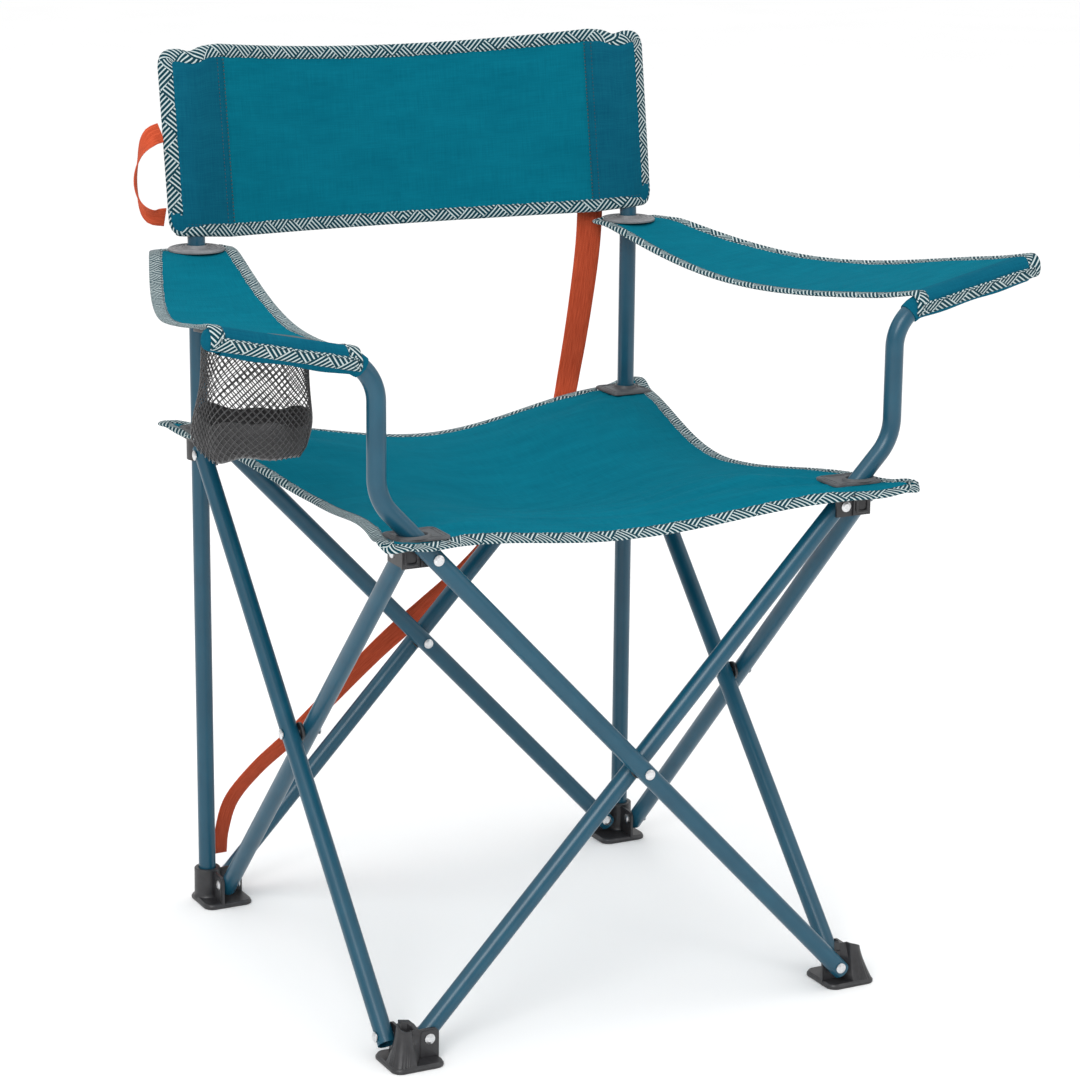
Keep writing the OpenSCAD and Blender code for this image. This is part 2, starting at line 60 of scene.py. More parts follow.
# --- Camera ---------------------------------------------------------------------------------
cam_data = bpy.data.cameras.new("camera")
cam_data.lens = 108.61
cam_data.sensor_width = 36.0
cam_data.clip_start, cam_data.clip_end = 0.1, 50
cam = bpy.data.objects.new("camera", cam_data)
bpy.context.scene.collection.objects.link(cam)
az, el, roll, dist = (math.radians(-27.2369), math.radians(14.3545), math.radians(0.5286), 2.9329)
back = Vector((math.sin(az) * math.cos(el), -math.cos(az) * math.cos(el), math.sin(el)))
look_at = Vector((0.0156, -0.0176, 0.3788))
right0 = (-back).cross(Vector((0, 0, 1))).normalized()
up0 = right0.cross(-back).normalized()
cam_x = right0 * math.cos(roll) + up0 * math.sin(roll)
cam_y = -right0 * math.sin(roll) + up0 * math.cos(roll)
cam.matrix_world = Matrix(
    [[*v, p] for v, p in zip(zip(cam_x, cam_y, back), look_at + back * dist)] + [[0, 0, 0, 1]]
)
bpy.context.scene.camera = cam
bpy.context.scene.view_settings.view_transform = "Standard"

# The carrying strap's route and loop, in metres, as in the CAD
STRAP_ROUTE = [
    [0.196, 0.2324, 0.654], [0.192, 0.2294, 0.600], [0.186, 0.2324, 0.540], [0.178, 0.2364, 0.480],
    [0.166, 0.2384, 0.420], [0.142, 0.2384, 0.370], [0.108, 0.2384, 0.325], [0.066, 0.2384, 0.285],
    [0.020, 0.2394, 0.250], [-0.028, 0.2394, 0.215], [-0.076, 0.2394, 0.175], [-0.118, 0.2394, 0.140],
    [-0.156, 0.2394, 0.112], [-0.184, 0.2384, 0.084], [-0.196, 0.2344, 0.056], [-0.200, 0.2304, 0.034],
]
LOOP_ROUTE = [
    [-0.249, 0.2214, 0.731], [-0.259, 0.2204, 0.727], [-0.270, 0.2194, 0.712], [-0.2755, 0.2184, 0.690],
    [-0.272, 0.2174, 0.670], [-0.262, 0.2164, 0.657], [-0.249, 0.2154, 0.655],
]


# --- Mesh helpers ---------------------------------------------------------------------------
def unit(v):
    v = np.asarray(v, float)
    return v / np.maximum(np.linalg.norm(v, axis=-1, keepdims=True), 1e-12)


def place(points):
    """Metres in the shared frame."""
    p = np.asarray(points, float).reshape(-1, 3).copy()
    p[:, 1] += CENTRE_Y
    return p * 0.001


def make(name, verts, faces, uvs, mat, sharp=40, normals=None, outward=False):
    """verts in millimetres; uvs is one (u, v) in metres per face corner, in face order."""
    me = bpy.data.meshes.new(name)
    me.from_pydata(place(verts).tolist(), [], [list(map(int, f)) for f in faces])
    layer = me.uv_layers.new(name="UVMap")
    layer.data.foreach_set("uv", np.asarray(uvs, np.float32).reshape(-1))
    if outward:
        bm = bmesh.new()
        bm.from_mesh(me)
        bmesh.ops.recalc_face_normals(bm, faces=bm.faces)
        bm.to_mesh(me)
        bm.free()
    me.polygons.foreach_set("use_smooth", [True] * len(me.polygons))
    if sharp is not None:
        me.set_sharp_from_angle(angle=math.radians(sharp))
    me.materials.append(mat)
    if normals is not None:
        me.normals_split_custom_set_from_vertices(np.asarray(normals, float).tolist())
    me.update()
    ob = bpy.data.objects.new(name, me)
    bpy.context.scene.collection.objects.link(ob)
    return ob


def lengths(points):
    """Length along a path up to each of its points."""
    steps = np.linalg.norm(np.diff(points, axis=0), axis=1)
    return np.concatenate([[0], np.cumsum(steps)])


def resample(points, count, values=None):
    """The points, or the values given at them, at count even steps along the path."""
    points = np.asarray(points, float)
    values = points if values is None else values
    s = lengths(points)
    t = np.linspace(0, s[-1], count)
    return np.stack([np.interp(t, s, values[:, k]) for k in range(values.shape[1])], -1)


def spline(points, count):
    """Smooth curve through points (Catmull-Rom), resampled evenly."""
    p = np.asarray(points, float)
    p = np.vstack([2 * p[0] - p[1], p, 2 * p[-1] - p[-2]])
    out = []
    for i in range(1, len(p) - 2):
        for t in np.linspace(0, 1, 16, endpoint=False):
            a, b, c, d = p[i - 1], p[i], p[i + 1], p[i + 2]
            out.append(0.5 * (2 * b + (c - a) * t + (2 * a - 5 * b + 4 * c - d) * t**2
                              + (3 * b - a - 3 * c + d) * t**3))
    out.append(p[-2])
    return resample(out, count)


def sweep_data(points, side, up, section, cap=True):
    """Rings of section (n, 2) or (m, n, 2) along points: verts, faces, corner uvs in metres."""
    points, side, up = (np.asarray(a, float) for a in (points, side, up))
    m = len(points)
    section = np.asarray(section, float)
    if section.ndim == 2:
        section = np.broadcast_to(section, (m, *section.shape))
    n = section.shape[1]
    verts = (points[:, None] + side[:, None] * section[..., :1] + up[:, None] * section[..., 1:])
    u = lengths(points) * 0.001
    ring = np.concatenate([section[0], section[0][:1]])
    v = lengths(ring) * 0.001
    faces, uvs = [], []
    for i in range(m - 1):
        for k in range(n):
            k2 = (k + 1) % n
            faces.append([i * n + k, (i + 1) * n + k, (i + 1) * n + k2, i * n + k2])
            uvs += [(u[i], v[k]), (u[i + 1], v[k]), (u[i + 1], v[k + 1]), (u[i], v[k + 1])]
    if cap:
        faces.append(list(range(n)))
        uvs += [(u[0], v[k]) for k in range(n)]
        faces.append([(m - 1) * n + k for k in reversed(range(n))])
        uvs += [(u[-1], v[k]) for k in reversed(range(n))]
    return verts.reshape(-1, 3), faces, uvs


def merge(parts):
    """Several (verts, faces, uvs) as one."""
    verts, faces, uvs, at = [], [], [], 0
    for v, f, u in parts:
        verts.append(np.asarray(v, float).reshape(-1, 3))
        faces += [[i + at for i in face] for face in f]
        uvs += u
        at += len(verts[-1])
    return np.concatenate(verts), faces, uvs


def ellipse(c, rx, ry, n=64):
    a = np.linspace(0, 2 * np.pi, n, endpoint=False)
    return np.stack([c[0] + rx * np.cos(a), c[1] + ry * np.sin(a)], -1)


def circle(r, n):
    return ellipse((0, 0), r, r, n)


def frames(points, side_hint):
    """Side and up vectors along a path, keeping side near side_hint."""
    points = np.asarray(points, float)
    way = unit(np.gradient(points, axis=0))
    hint = np.broadcast_to(np.asarray(side_hint, float), points.shape)
    side = unit(hint - way * np.sum(hint * way, -1, keepdims=True))
    return side, np.cross(way, side)


def grid_normals(P, way=None):
    """Normals of a grid of points, on the side that way points to at its middle."""
    N = unit(np.cross(np.gradient(P, axis=0), np.gradient(P, axis=1)))
    if way is not None and N[P.shape[0] // 2, P.shape[1] // 2] @ way < 0:
        return -N
    return N


def draw_in(x, y, centre, quarter, r, slack=0):
    """Draws whatever lies past radius r in one quarter round a centre in to that radius."""
    dx, dy = x - centre[0], y - centre[1]
    d = np.maximum(np.hypot(dx, dy), 1e-9)
    out = (dx * quarter[0] > -slack) & (dy * quarter[1] > -slack) & (d > r)
    return np.where(out, centre[0] + dx / d * r, x), np.where(out, centre[1] + dy / d * r, y)


def mirror(points, right):
    """A left-hand piece's points, turned over for the right-hand side."""
    return np.array(points, float) * [-1 if right else 1, 1, 1]


def fit(ob, body, slot, *nodes):
    """Makes a piece move with a body and stand for CAD nodes, which it hides; slot is not used."""
    if nodes:
        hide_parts(*nodes)
    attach(ob, body)


def bevel(ob, width, segments, angle):
    """Rounds the edges sharper than angle degrees, by a width in metres."""
    mod = ob.modifiers.new("bevel", "BEVEL")
    mod.width, mod.segments = width, segments
    mod.limit_method, mod.angle_limit = "ANGLE", math.radians(angle)
    mod.harden_normals = True


def sheet_data(P, N, thick, hole=None):
    """Closed sheet over the grid P (nu, nv, 3), half its thickness to each side."""
    nu, nv = P.shape[:2]
    U = np.concatenate([[0], np.cumsum(np.linalg.norm(np.diff(P, axis=0), axis=2).mean(1))])
    V = np.concatenate([[0], np.cumsum(np.linalg.norm(np.diff(P, axis=1), axis=2).mean(0))])
    uv = np.stack(np.meshgrid(U, V, indexing="ij"), -1).reshape(-1, 2) * 0.001
    count = nu * nv
    verts = np.concatenate([(P + N * thick / 2).reshape(-1, 3), (P - N * thick / 2).reshape(-1, 3)])
    normals = np.concatenate([N.reshape(-1, 3), -N.reshape(-1, 3)])
    faces = []
    gone = np.zeros((nu + 1, nv + 1), bool)
    if hole is not None:
        mid = (P[:-1, :-1] + P[1:, 1:]) / 2
        gone[1:-1, 1:-1] = np.hypot(mid[..., 0] - hole[0], mid[..., 1] - hole[1]) < hole[2]
    for i in range(nu - 1):
        for j in range(nv - 1):
            a = i * nv + j
            if gone[i + 1, j + 1]:
                continue
            faces.append([a, a + nv, a + nv + 1, a + 1])
            faces.append([count + a, count + a + 1, count + a + nv + 1, count + a + nv])
            for b, c, next_to in ((a, a + 1, gone[i, j + 1]), (a + 1, a + nv + 1, gone[i + 1, j + 2]),
                                  (a + nv + 1, a + nv, gone[i + 2, j + 1]), (a + nv, a, gone[i + 1, j])):
                if next_to:
                    faces.append([b, c, count + c, count + b])
    rim = ([i * nv for i in range(nu - 1)] + [(nu - 1) * nv + j for j in range(nv - 1)]
           + [i * nv + nv - 1 for i in range(nu - 1, 0, -1)] + list(range(nv - 1, 0, -1)))
    for a, b in zip(rim, rim[1:] + rim[:1]):
        faces.append([a, count + a, count + b, b])
    both = np.concatenate([uv, uv])
    uvs = [tuple(both[i]) for f in faces for i in f]
    return verts, faces, uvs, normals


def cloth(name, P, mat, thick=1.6, N=None, hole=None):
    """A closed thin sheet on a grid; hole is (x, y, radius)."""
    N = grid_normals(P) if N is None else N
    P, N = np.asarray(P, float), np.asarray(N, float)
    i, j = P.shape[0] // 2, P.shape[1] // 2
    if np.cross(P[i, j] - P[i - 1, j], P[i, j] - P[i, j - 1]) @ N[i, j] < 0:
        P, N = P[::-1], N[::-1]
    verts, faces, uvs, normals = sheet_data(P, N, thick, hole)
    return make(name, verts, faces, uvs, mat, sharp=None, normals=normals)


def boundary(P, N, start, stop):
    """Points and normals round a grid's rim, anticlockwise from corner start to corner stop."""
    sides = [(P[:, 0], N[:, 0]), (P[-1], N[-1]), (P[::-1, -1], N[::-1, -1]), (P[0, ::-1], N[0, ::-1])]
    pts, nrm = [], []
    for k in range(start, stop):
        p, n = sides[k % 4]
        pts.append(p[:-1] if k < stop - 1 else p)
        nrm.append(n[:-1] if k < stop - 1 else n)
    return np.concatenate(pts), np.concatenate(nrm)


TAPE_W = 10.5


def binding(name, pts, nrm, thick=1.6, inward=None, lift=None):
    """Tape folded over a cloth's edge; inward is to the left of the path seen from above."""
    count = max(4, int(lengths(pts)[-1] / 2.5))
    p = resample(pts, count)
    n = unit(resample(pts, count, nrm))
    way = np.gradient(p, axis=0)
    for _ in range(2):
        way[1:-1] = (way[:-2] + way[1:-1] * 2 + way[2:]) / 4
    way = unit(way)
    inw = unit(np.cross(n, way)) if inward is None else unit(inward(p, n, way))
    h = thick / 2 + 0.55
    half = [[TAPE_W, h - 0.35], [TAPE_W - 1.0, h], [TAPE_W * 0.5, h + 0.25], [1.5, h + 0.1],
            [-0.6, h * 0.75]]
    section = np.array([*half, [-1.3, 0], *([a, -b] for a, b in half[::-1])])
    wob = 0.25 * np.sin(np.arange(count) * 0.9 + 0.4) + 0.2 * np.sin(np.arange(count) * 0.37)
    sec = np.broadcast_to(section, (count, *section.shape)).copy()
    sec[:, 0, 0] += wob
    sec[:, -1, 0] += wob
    if lift is not None:
        for k in range(len(section)):
            if section[k, 0] > 0:
                sec[:, k, 1] += math.copysign(1, section[k, 1]) * lift(p + inw * section[k, 0])
    verts, faces, uvs = sweep_data(p, inw, n, sec)
    return make(name, verts, faces, uvs, M_TAPE, sharp=50), p, n, inw


STITCH, STITCH_PITCH = 2.1, 3.2


def stitches(name, pts, nrm, r=0.32):
    """A row of short stitches that lie on a surface."""
    count = max(2, int(lengths(pts)[-1] / STITCH_PITCH))
    p = resample(pts, count)
    n = unit(resample(pts, count, nrm))
    way = unit(np.gradient(p, axis=0))
    side = unit(np.cross(n, way))
    shape = [(-0.5, 0.15), (-0.28, 0.9), (0.28, 0.9), (0.5, 0.15)]
    parts = []
    sec = np.array([[[w * r, -r * 0.4], [w * r, r * 0.5 * w], [0, r * w * 1.1], [-w * r, r * 0.5 * w],
                     [-w * r, -r * 0.4]] for _, w in shape])
    for i in range(count):
        pts_i = np.array([p[i] + way[i] * STITCH * a for a, _ in shape])
        parts.append(sweep_data(pts_i, np.repeat(side[i][None], 4, 0), np.repeat(n[i][None], 4, 0), sec))
    return make(name, *merge(parts), M_STITCH, sharp=None)



def hills(x, y, count, scale, amp):
    """Smooth random undulation over a surface."""
    z = np.zeros_like(x)
    for _ in range(count):
        a = rng.uniform(0, 2 * np.pi)
        k = 2 * np.pi / (scale * rng.uniform(0.7, 1.5))
        z += np.sin(k * (x * math.cos(a) + y * math.sin(a)) + rng.uniform(0, 6.28))
    return amp * z / math.sqrt(count)


# --- Materials ------------------------------------------------------------------------------
class Mat:
    def __init__(self, name):
        self.m = bpy.data.materials.new(name)
        self.m.use_nodes = True
        self.t = self.m.node_tree
        self.b = self.t.nodes["Principled BSDF"]

    def feed(self, n, inputs):
        """Sets a node's inputs: a socket is linked, a value is set on the socket."""
        for key, v in inputs.items():
            if isinstance(v, bpy.types.NodeSocket):
                self.t.links.new(v, n.inputs[key])
            else:
                n.inputs[key].default_value = v
        return n

    def node(self, kind, **inputs):
        return self.feed(self.t.nodes.new(kind), inputs)

    def math(self, op, *values):
        n = self.t.nodes.new("ShaderNodeMath")
        n.operation = op
        return self.feed(n, dict(enumerate(values))).outputs[0]

    def mix(self, fac, a, b):
        n = self.t.nodes.new("ShaderNodeMix")
        n.data_type = "RGBA"
        a, b = (v if isinstance(v, bpy.types.NodeSocket) else (*v, 1) for v in (a, b))
        return self.feed(n, {0: fac, 6: a, 7: b}).outputs[2]

    def set(self, **inputs):
        self.feed(self.b, {k.replace("_", " "): v for k, v in inputs.items()})

    def coords(self, which="Object"):
        return self.node("ShaderNodeTexCoord").outputs[which]

    def mapped(self, vector, scale):
        return self.node("ShaderNodeMapping", Vector=vector, Scale=scale).outputs[0]

    def noise(self, vector, scale, detail):
        return self.node("ShaderNodeTexNoise", Vector=vector, Scale=scale, Detail=detail).outputs["Fac"]

    def ramp(self, fac, stops):
        n = self.t.nodes.new("ShaderNodeValToRGB")
        while len(n.color_ramp.elements) < len(stops):
            n.color_ramp.elements.new(0.5)
        for e, (p, c) in zip(n.color_ramp.elements, stops):
            e.position = p
            e.color = (*c, 1)
        self.t.links.new(fac, n.inputs[0])
        return n.outputs[0]

    def bump(self, height, distance, strength):
        return self.node("ShaderNodeBump", Height=height, Distance=distance, Strength=strength).outputs[0]


def paint():
    t = Mat("tube_paint")
    co = t.coords()
    colors = [(0.3, (0.004, 0.056, 0.096)), (0.75, (0.006, 0.070, 0.116))]
    t.set(Base_Color=t.ramp(t.noise(co, 38, 4), colors),
          Roughness=t.math("MULTIPLY_ADD", t.noise(co, 420, 3), 0.08, 0.26),
          Specular_IOR_Level=0.45,
          Normal=t.bump(t.noise(co, 1500, 2), 0.00001, 0.25))
    return t.m


def plastic(name, dark, light, rough):
    t = Mat(name)
    co = t.coords()
    t.set(Base_Color=t.ramp(t.noise(co, 90, 4), [(0.3, dark), (0.8, light)]),
          Roughness=t.math("MULTIPLY_ADD", t.noise(co, 300, 3), 0.16, rough - 0.08),
          Normal=t.bump(t.noise(co, 1900, 2), 0.00005, 0.6))
    return t.m


def steel():
    t = Mat("rivet_steel")
    co = t.coords()
    t.set(Base_Color=t.ramp(t.noise(co, 700, 3), [(0.2, (0.55, 0.56, 0.57)), (0.8, (0.78, 0.78, 0.79))]),
          Metallic=1.0, Roughness=t.math("MULTIPLY_ADD", t.noise(co, 900, 2), 0.15, 0.24),
          Normal=t.bump(t.noise(t.mapped(co, (3, 3, 0.4)), 900, 2), 0.00004, 0.4))
    return t.m


def weave_height(t, uv, period):
    """Plain weave: over and under threads, from two waves across each other."""
    sep = t.node("ShaderNodeSeparateXYZ", Vector=uv)
    k = 2 * math.pi / period
    x = t.math("SINE", t.math("MULTIPLY", sep.outputs[0], k))
    y = t.math("SINE", t.math("MULTIPLY", sep.outputs[1], k))
    return t.math("MULTIPLY", x, y)


def fabric(name, dark, light, sheen):
    t = Mat(name)
    uv = t.coords("UV")
    weave = weave_height(t, uv, 0.0011)
    slub = t.noise(t.mapped(uv, (40, 900, 1)), 1.0, 3)
    slub2 = t.noise(t.mapped(uv, (900, 40, 1)), 1.0, 3)
    tone = t.math("ADD", t.math("MULTIPLY", slub, 0.34), t.math("MULTIPLY", slub2, 0.34))
    tone = t.math("ADD", tone, t.math("MULTIPLY", t.noise(t.mapped(uv, (14, 60, 1)), 1.0, 4), 0.32))
    tone = t.math("ADD", tone, t.math("MULTIPLY", weave, 0.07))
    t.set(Base_Color=t.ramp(tone, [(0.34, dark), (0.66, light)]),
          Roughness=0.9, Specular_IOR_Level=0.02, Sheen_Weight=sheen, Sheen_Roughness=0.5,
          Sheen_Tint=(0.0, 0.5, 0.65, 1),
          Normal=t.bump(t.math("ADD", t.math("MULTIPLY", weave, 0.5), t.math("MULTIPLY", slub, 0.8)),
                        0.0002, 0.55))
    return t.m


def binding_tape():
    """Triangles of slanted stripes that point alternately each way."""
    group, period, tape = 0.027, 0.0034, TAPE_W / 1000
    white, dark = (0.52, 0.60, 0.60), (0.002, 0.036, 0.052)
    t = Mat("binding_tape")
    sep = t.node("ShaderNodeSeparateXYZ", Vector=t.coords("UV"))
    u, v = sep.outputs[0], sep.outputs[1]
    saw = t.math("PINGPONG", u, group / 2)
    across = t.math("PINGPONG", v, tape)
    upper = t.math("GREATER_THAN", t.math("MULTIPLY", saw, 2 * tape / group), across)
    slant = t.math("MULTIPLY_ADD", upper, 2.0, -1.0)
    line = t.math("ADD", u, t.math("MULTIPLY", slant, v))
    stripe = t.math("FRACT", t.math("DIVIDE", line, period * math.sqrt(2)))
    edge = t.math("PINGPONG", stripe, 0.5)
    fac = t.ramp(edge, [(0.28, (0, 0, 0)), (0.36, (1, 1, 1))])
    fac = t.node("ShaderNodeRGBToBW", Color=fac).outputs[0]
    grime = t.noise(t.mapped(t.coords("UV"), (900, 900, 1)), 1.0, 2)
    whites = t.ramp(grime, [(0.3, tuple(c * 0.8 for c in white)), (0.7, white)])
    t.set(Base_Color=t.mix(fac, dark, whites), Roughness=0.85, Specular_IOR_Level=0.08,
          Sheen_Weight=0.03, Sheen_Roughness=0.5,
          Normal=t.bump(t.math("ADD", fac, t.math("MULTIPLY", grime, 0.4)), 0.00025, 0.6))
    return t.m


def webbing():
    t = Mat("strap_webbing")
    uv = t.coords("UV")
    weave = weave_height(t, uv, 0.0016)
    streak = t.noise(t.mapped(uv, (60, 1200, 1)), 1.0, 3)
    tone = t.math("ADD", t.math("MULTIPLY", weave, 0.18), streak)
    t.set(Base_Color=t.ramp(tone, [(0.3, (0.40, 0.050, 0.018)), (0.7, (0.64, 0.105, 0.045))]),
          Roughness=0.8, Specular_IOR_Level=0.06, Sheen_Weight=0.08, Sheen_Roughness=0.4,
          Sheen_Tint=(1, 0.6, 0.45, 1), Normal=t.bump(weave, 0.00025, 0.7))
    return t.m


def net():
    t = Mat("net_cord")
    co = t.coords()
    colors = [(0.3, (0.010, 0.010, 0.011)), (0.7, (0.035, 0.034, 0.036))]
    t.set(Base_Color=t.ramp(t.noise(co, 500, 3), colors),
          Roughness=0.7, Sheen_Weight=0.3, Normal=t.bump(t.noise(co, 2500, 2), 0.0001, 0.6))
    return t.m


def thread():
    t = Mat("thread_dark")
    colors = [(0.3, (0.001, 0.018, 0.028)), (0.7, (0.002, 0.034, 0.048))]
    t.set(Base_Color=t.ramp(t.noise(t.coords(), 900, 2), colors), Roughness=0.7, Sheen_Weight=0.2)
    return t.m


M_PAINT = paint()
M_DARK = plastic("moulded_plastic", (0.016, 0.016, 0.018), (0.034, 0.034, 0.037), 0.40)
M_GREY = plastic("grey_plastic", (0.13, 0.132, 0.14), (0.24, 0.242, 0.25), 0.5)
M_PLATE = plastic("seat_plate_plastic", (0.050, 0.053, 0.058), (0.085, 0.09, 0.096), 0.5)
M_STEEL = steel()
M_CLOTH = fabric("polyester", (0.0010, 0.100, 0.152), (0.0024, 0.148, 0.212), 0.05)
M_SLEEVE = fabric("polyester_double", (0.0020, 0.066, 0.116), (0.0046, 0.106, 0.164), 0.08)
M_TAPE = binding_tape()
M_WEB = webbing()
M_NET = net()
M_STITCH = thread()

# The CAD nodes that stay in view are steel pins and rivets, and dark mouldings with rounded edges
for name, ob in NODES.items():
    steel_part = "rivet" in name or "stop_pin" in name
    ob.data.materials.clear()
    ob.data.materials.append(M_STEEL if steel_part else M_DARK)
    for p in ob.data.polygons:
        p.material_index = 0
    if not steel_part and not name.endswith(("_pole", "_tube")):
        weld = ob.modifiers.new("weld", "WELD")
        weld.merge_threshold = 0.00002
        bevel(ob, 0.0007, 3, 38)


# --- Tubes ----------------------------------------------------------------------------------
def hollow_tube(node, path, side_hint, body):
    """A tube with a wall, painted inside and out, in place of the CAD tube."""
    side, up = frames(path, side_hint)
    n = 36
    outer = sweep_data(path, side, up, circle(TUBE_R, n), cap=False)
    inner = sweep_data(path, side, up, circle(BORE_R, n)[::-1], cap=False)
    v, f, u = merge([outer, inner])
    m, base = len(path), len(path) * n
    for row in (0, m - 1):
        for k in range(n):
            a, b = row * n + k, row * n + (k + 1) % n
            c, d = base + row * n + (n - 1 - k), base + row * n + (n - 1 - (k + 1) % n)
            f.append([a, b, d, c] if row == 0 else [a, c, d, b])
            u += [(0, 0), (0.002, 0), (0.002, 0.002), (0, 0.002)]
    fit(make("tube_" + node, v, f, u, M_PAINT, sharp=35), body, "tube", node)


def side_point(k, x, y, z):
    """A point of the front scissor plane, turned to side k (0 front, 1 right, 2 rear, 3 left)."""
    a = math.radians(90 * k)
    return [x * math.cos(a) - y * math.sin(a), x * math.sin(a) + y * math.cos(a), z]


def scissor_path(k, outer):
    y = -PLANE - TUBE_GAP if outer else -PLANE + TUBE_GAP
    s = 1 if outer else -1
    d = np.array([math.cos(OPEN), math.sin(OPEN)])
    ends = [np.array([-PIVOT_HALF, PIVOT_LOW]) - d * TUBE_END,
            np.array([PIVOT_HALF, PIVOT_HIGH]) + d * TUBE_END]
    return [side_point(k, -s * e[0], y, e[1]) for e in ends]


def fillet(points, radii, arc):
    """Polyline with rounded corners."""
    points = [np.asarray(p, float) for p in points]
    out = [points[0]]
    for a, b, c, r in zip(points, points[1:], points[2:], radii):
        u, w = unit(a - b), unit(c - b)
        half = math.acos(np.clip(u @ w, -1, 1)) / 2
        t = r / math.tan(half)
        centre = b + unit(u + w) * r / math.sin(half)
        p0, p1 = b + u * t - centre, b + w * t - centre
        turn = math.acos(np.clip(unit(p0) @ unit(p1), -1, 1))
        for s in np.linspace(0, 1, arc + 1):
            out.append(centre + (p0 * math.sin((1 - s) * turn) + p1 * math.sin(s * turn)) / math.sin(turn))
    out.append(points[-1])
    return np.array(out)


for node, k, outer in (("rear_outer_tube", 2, True), ("rear_inner_tube", 2, False),
                       ("left_outer_tube", 3, True), ("left_inner_tube", 3, False),
                       ("right_outer_tube", 1, True), ("right_inner_tube", 1, False)):
    path = np.linspace(*scissor_path(k, outer), 12)
    hollow_tube(node, path, side_point(k, 0, 1, 0), node)

ARM_PATHS = {}
post_low_z = PIVOT_HIGH + (POST_X - PIVOT_HALF) * math.tan(OPEN)
for right in (False, True):
    s = 1 if right else -1
    y = -PLANE + (TUBE_GAP if right else -TUBE_GAP)
    start = scissor_path(0, not right)[0]
    corners = [start, [s * POST_X, y, post_low_z], [s * POST_X, y, ARM_Z],
               [s * ARM_END_X, y, ARM_Z + (ARM_END_X - POST_X) * math.tan(ARM_RISE)]]
    ARM_PATHS[right] = fillet(corners, [45, 38], 24)
    hollow_tube(SIDE[right] + "_arm_tube", ARM_PATHS[right], [0, 1, 0], SIDE[right] + "_arm_tube")

POLE_BODY = ("root", "rear_right_foot")
for right in (False, True):
    x = POLE if right else -POLE
    top_y = POLE + (POLE_TOP_Z - POLE_BEND_Z) * math.tan(POLE_LEAN)
    path = fillet([[x, POLE, 5], [x, POLE, POLE_BEND_Z], [x, top_y, POLE_TOP_Z]], [60], 10)
    hollow_tube(f"rear_{SIDE[right]}_pole", path, [1, 0, 0], POLE_BODY[right])

# --- Moulded details ------------------------------------------------------------------------
def outline(hole, mid, half, r, n=64):
    """Points of a rounded square round mid, at even angles seen from hole."""
    steps = np.linspace(0, 90, 901)
    out = []
    for a in np.linspace(0, 2 * np.pi, n, endpoint=False):
        q = np.abs(np.array(hole) + steps[:, None] * [math.cos(a), math.sin(a)] - mid)
        over = np.maximum(q - (np.array(half) - r), 0)
        inside = (np.hypot(over[:, 0], over[:, 1]) <= r) & (q <= half).all(1)
        t = steps[np.nonzero(inside)[0][-1]]
        out.append([hole[0] + t * math.cos(a), hole[1] + t * math.sin(a)])
    return np.array(out)


def stack(rows):
    """Joins rings of points, each to the next."""
    m, n = rows.shape[:2]
    faces, uvs = [], []
    for i in range(m - 1):
        for j in range(n):
            j2 = (j + 1) % n
            faces.append([i * n + j, i * n + j2, (i + 1) * n + j2, (i + 1) * n + j])
            uvs += [(i * 0.001, j * 0.001)] * 4
    return rows.reshape(-1, 3), faces, uvs


def ringed(inner, outer, profile, close=True):
    """A ring between two outlines; profile gives (share outwards, mm outwards, height)."""
    way = unit(outer - inner)
    rows = [np.column_stack([inner + (outer - inner) * k + way * d, np.full(len(inner), z)])
            for k, d, z in profile]
    return stack(np.array(rows + rows[:1] if close else rows))


def lines(t, marks, rise=0.45):
    """Raised lines 0.9 mm wide on a flat top at height t, as profile points."""
    return [(k, d + out, t + up) for k, d in marks
            for out, up in ((-0.45 - 0.25, 0), (-0.45, rise), (0.45, rise), (0.45 + 0.25, 0))]


POLE_HOLE = 8.4
PLATE_LOW = SEAT_Z + 1.1
PLATE_TOP = PLATE_LOW + 2.4
TUBE_AT_PLATE = PIVOT_HALF + (PLATE_TOP - PIVOT_HIGH) / math.tan(OPEN)
TUBE_HOLE = (12.4, 8.6)


def plate(body, node, inner, outer, lip, marks):
    """A corner plate with a raised lip round its hole and raised lines on its top."""
    profile = [(0, 0, PLATE_LOW), *((0, d, PLATE_TOP + h) for d, h in lip), *lines(PLATE_TOP, marks),
               (1, -0.7, PLATE_TOP), (1, 0, PLATE_TOP - 0.7), (1, 0, PLATE_LOW)]
    ob = make("plate_" + body, *ringed(inner, outer, profile), M_PLATE, sharp=50, outward=True)
    fit(ob, body, "corner_plate", node)


for right, tube_y in ((False, -PLANE - TUBE_GAP), (True, -PLANE + TUBE_GAP)):
    hole = ((1 if right else -1) * TUBE_AT_PLATE, tube_y)
    plate(f"front_{SIDE[right]}_bracket", f"front_{SIDE[right]}_seat_plate", ellipse(hole, *TUBE_HOLE),
          outline(hole, (211 if right else -211, tube_y + 7), (24, 18), 5),
          [(0, 1.6), (0.7, 2.2), (2.0, 2.1), (2.9, 1.2), (3.6, 0)], [(1, -6.0), (1, -2.4)])
for right in (False, True):
    hole = (POLE if right else -POLE, POLE)
    plate(f"rear_{SIDE[right]}_slider", f"rear_{SIDE[right]}_seat_plate",
          ellipse(hole, POLE_HOLE, POLE_HOLE), outline(hole, (218 if right else -218, 218), (21, 21), 4),
          [(0, 1.8), (0.8, 2.4), (2.2, 2.2), (3.0, 0)], [(0, 5.0), (1, -5.6), (1, -2.2)])

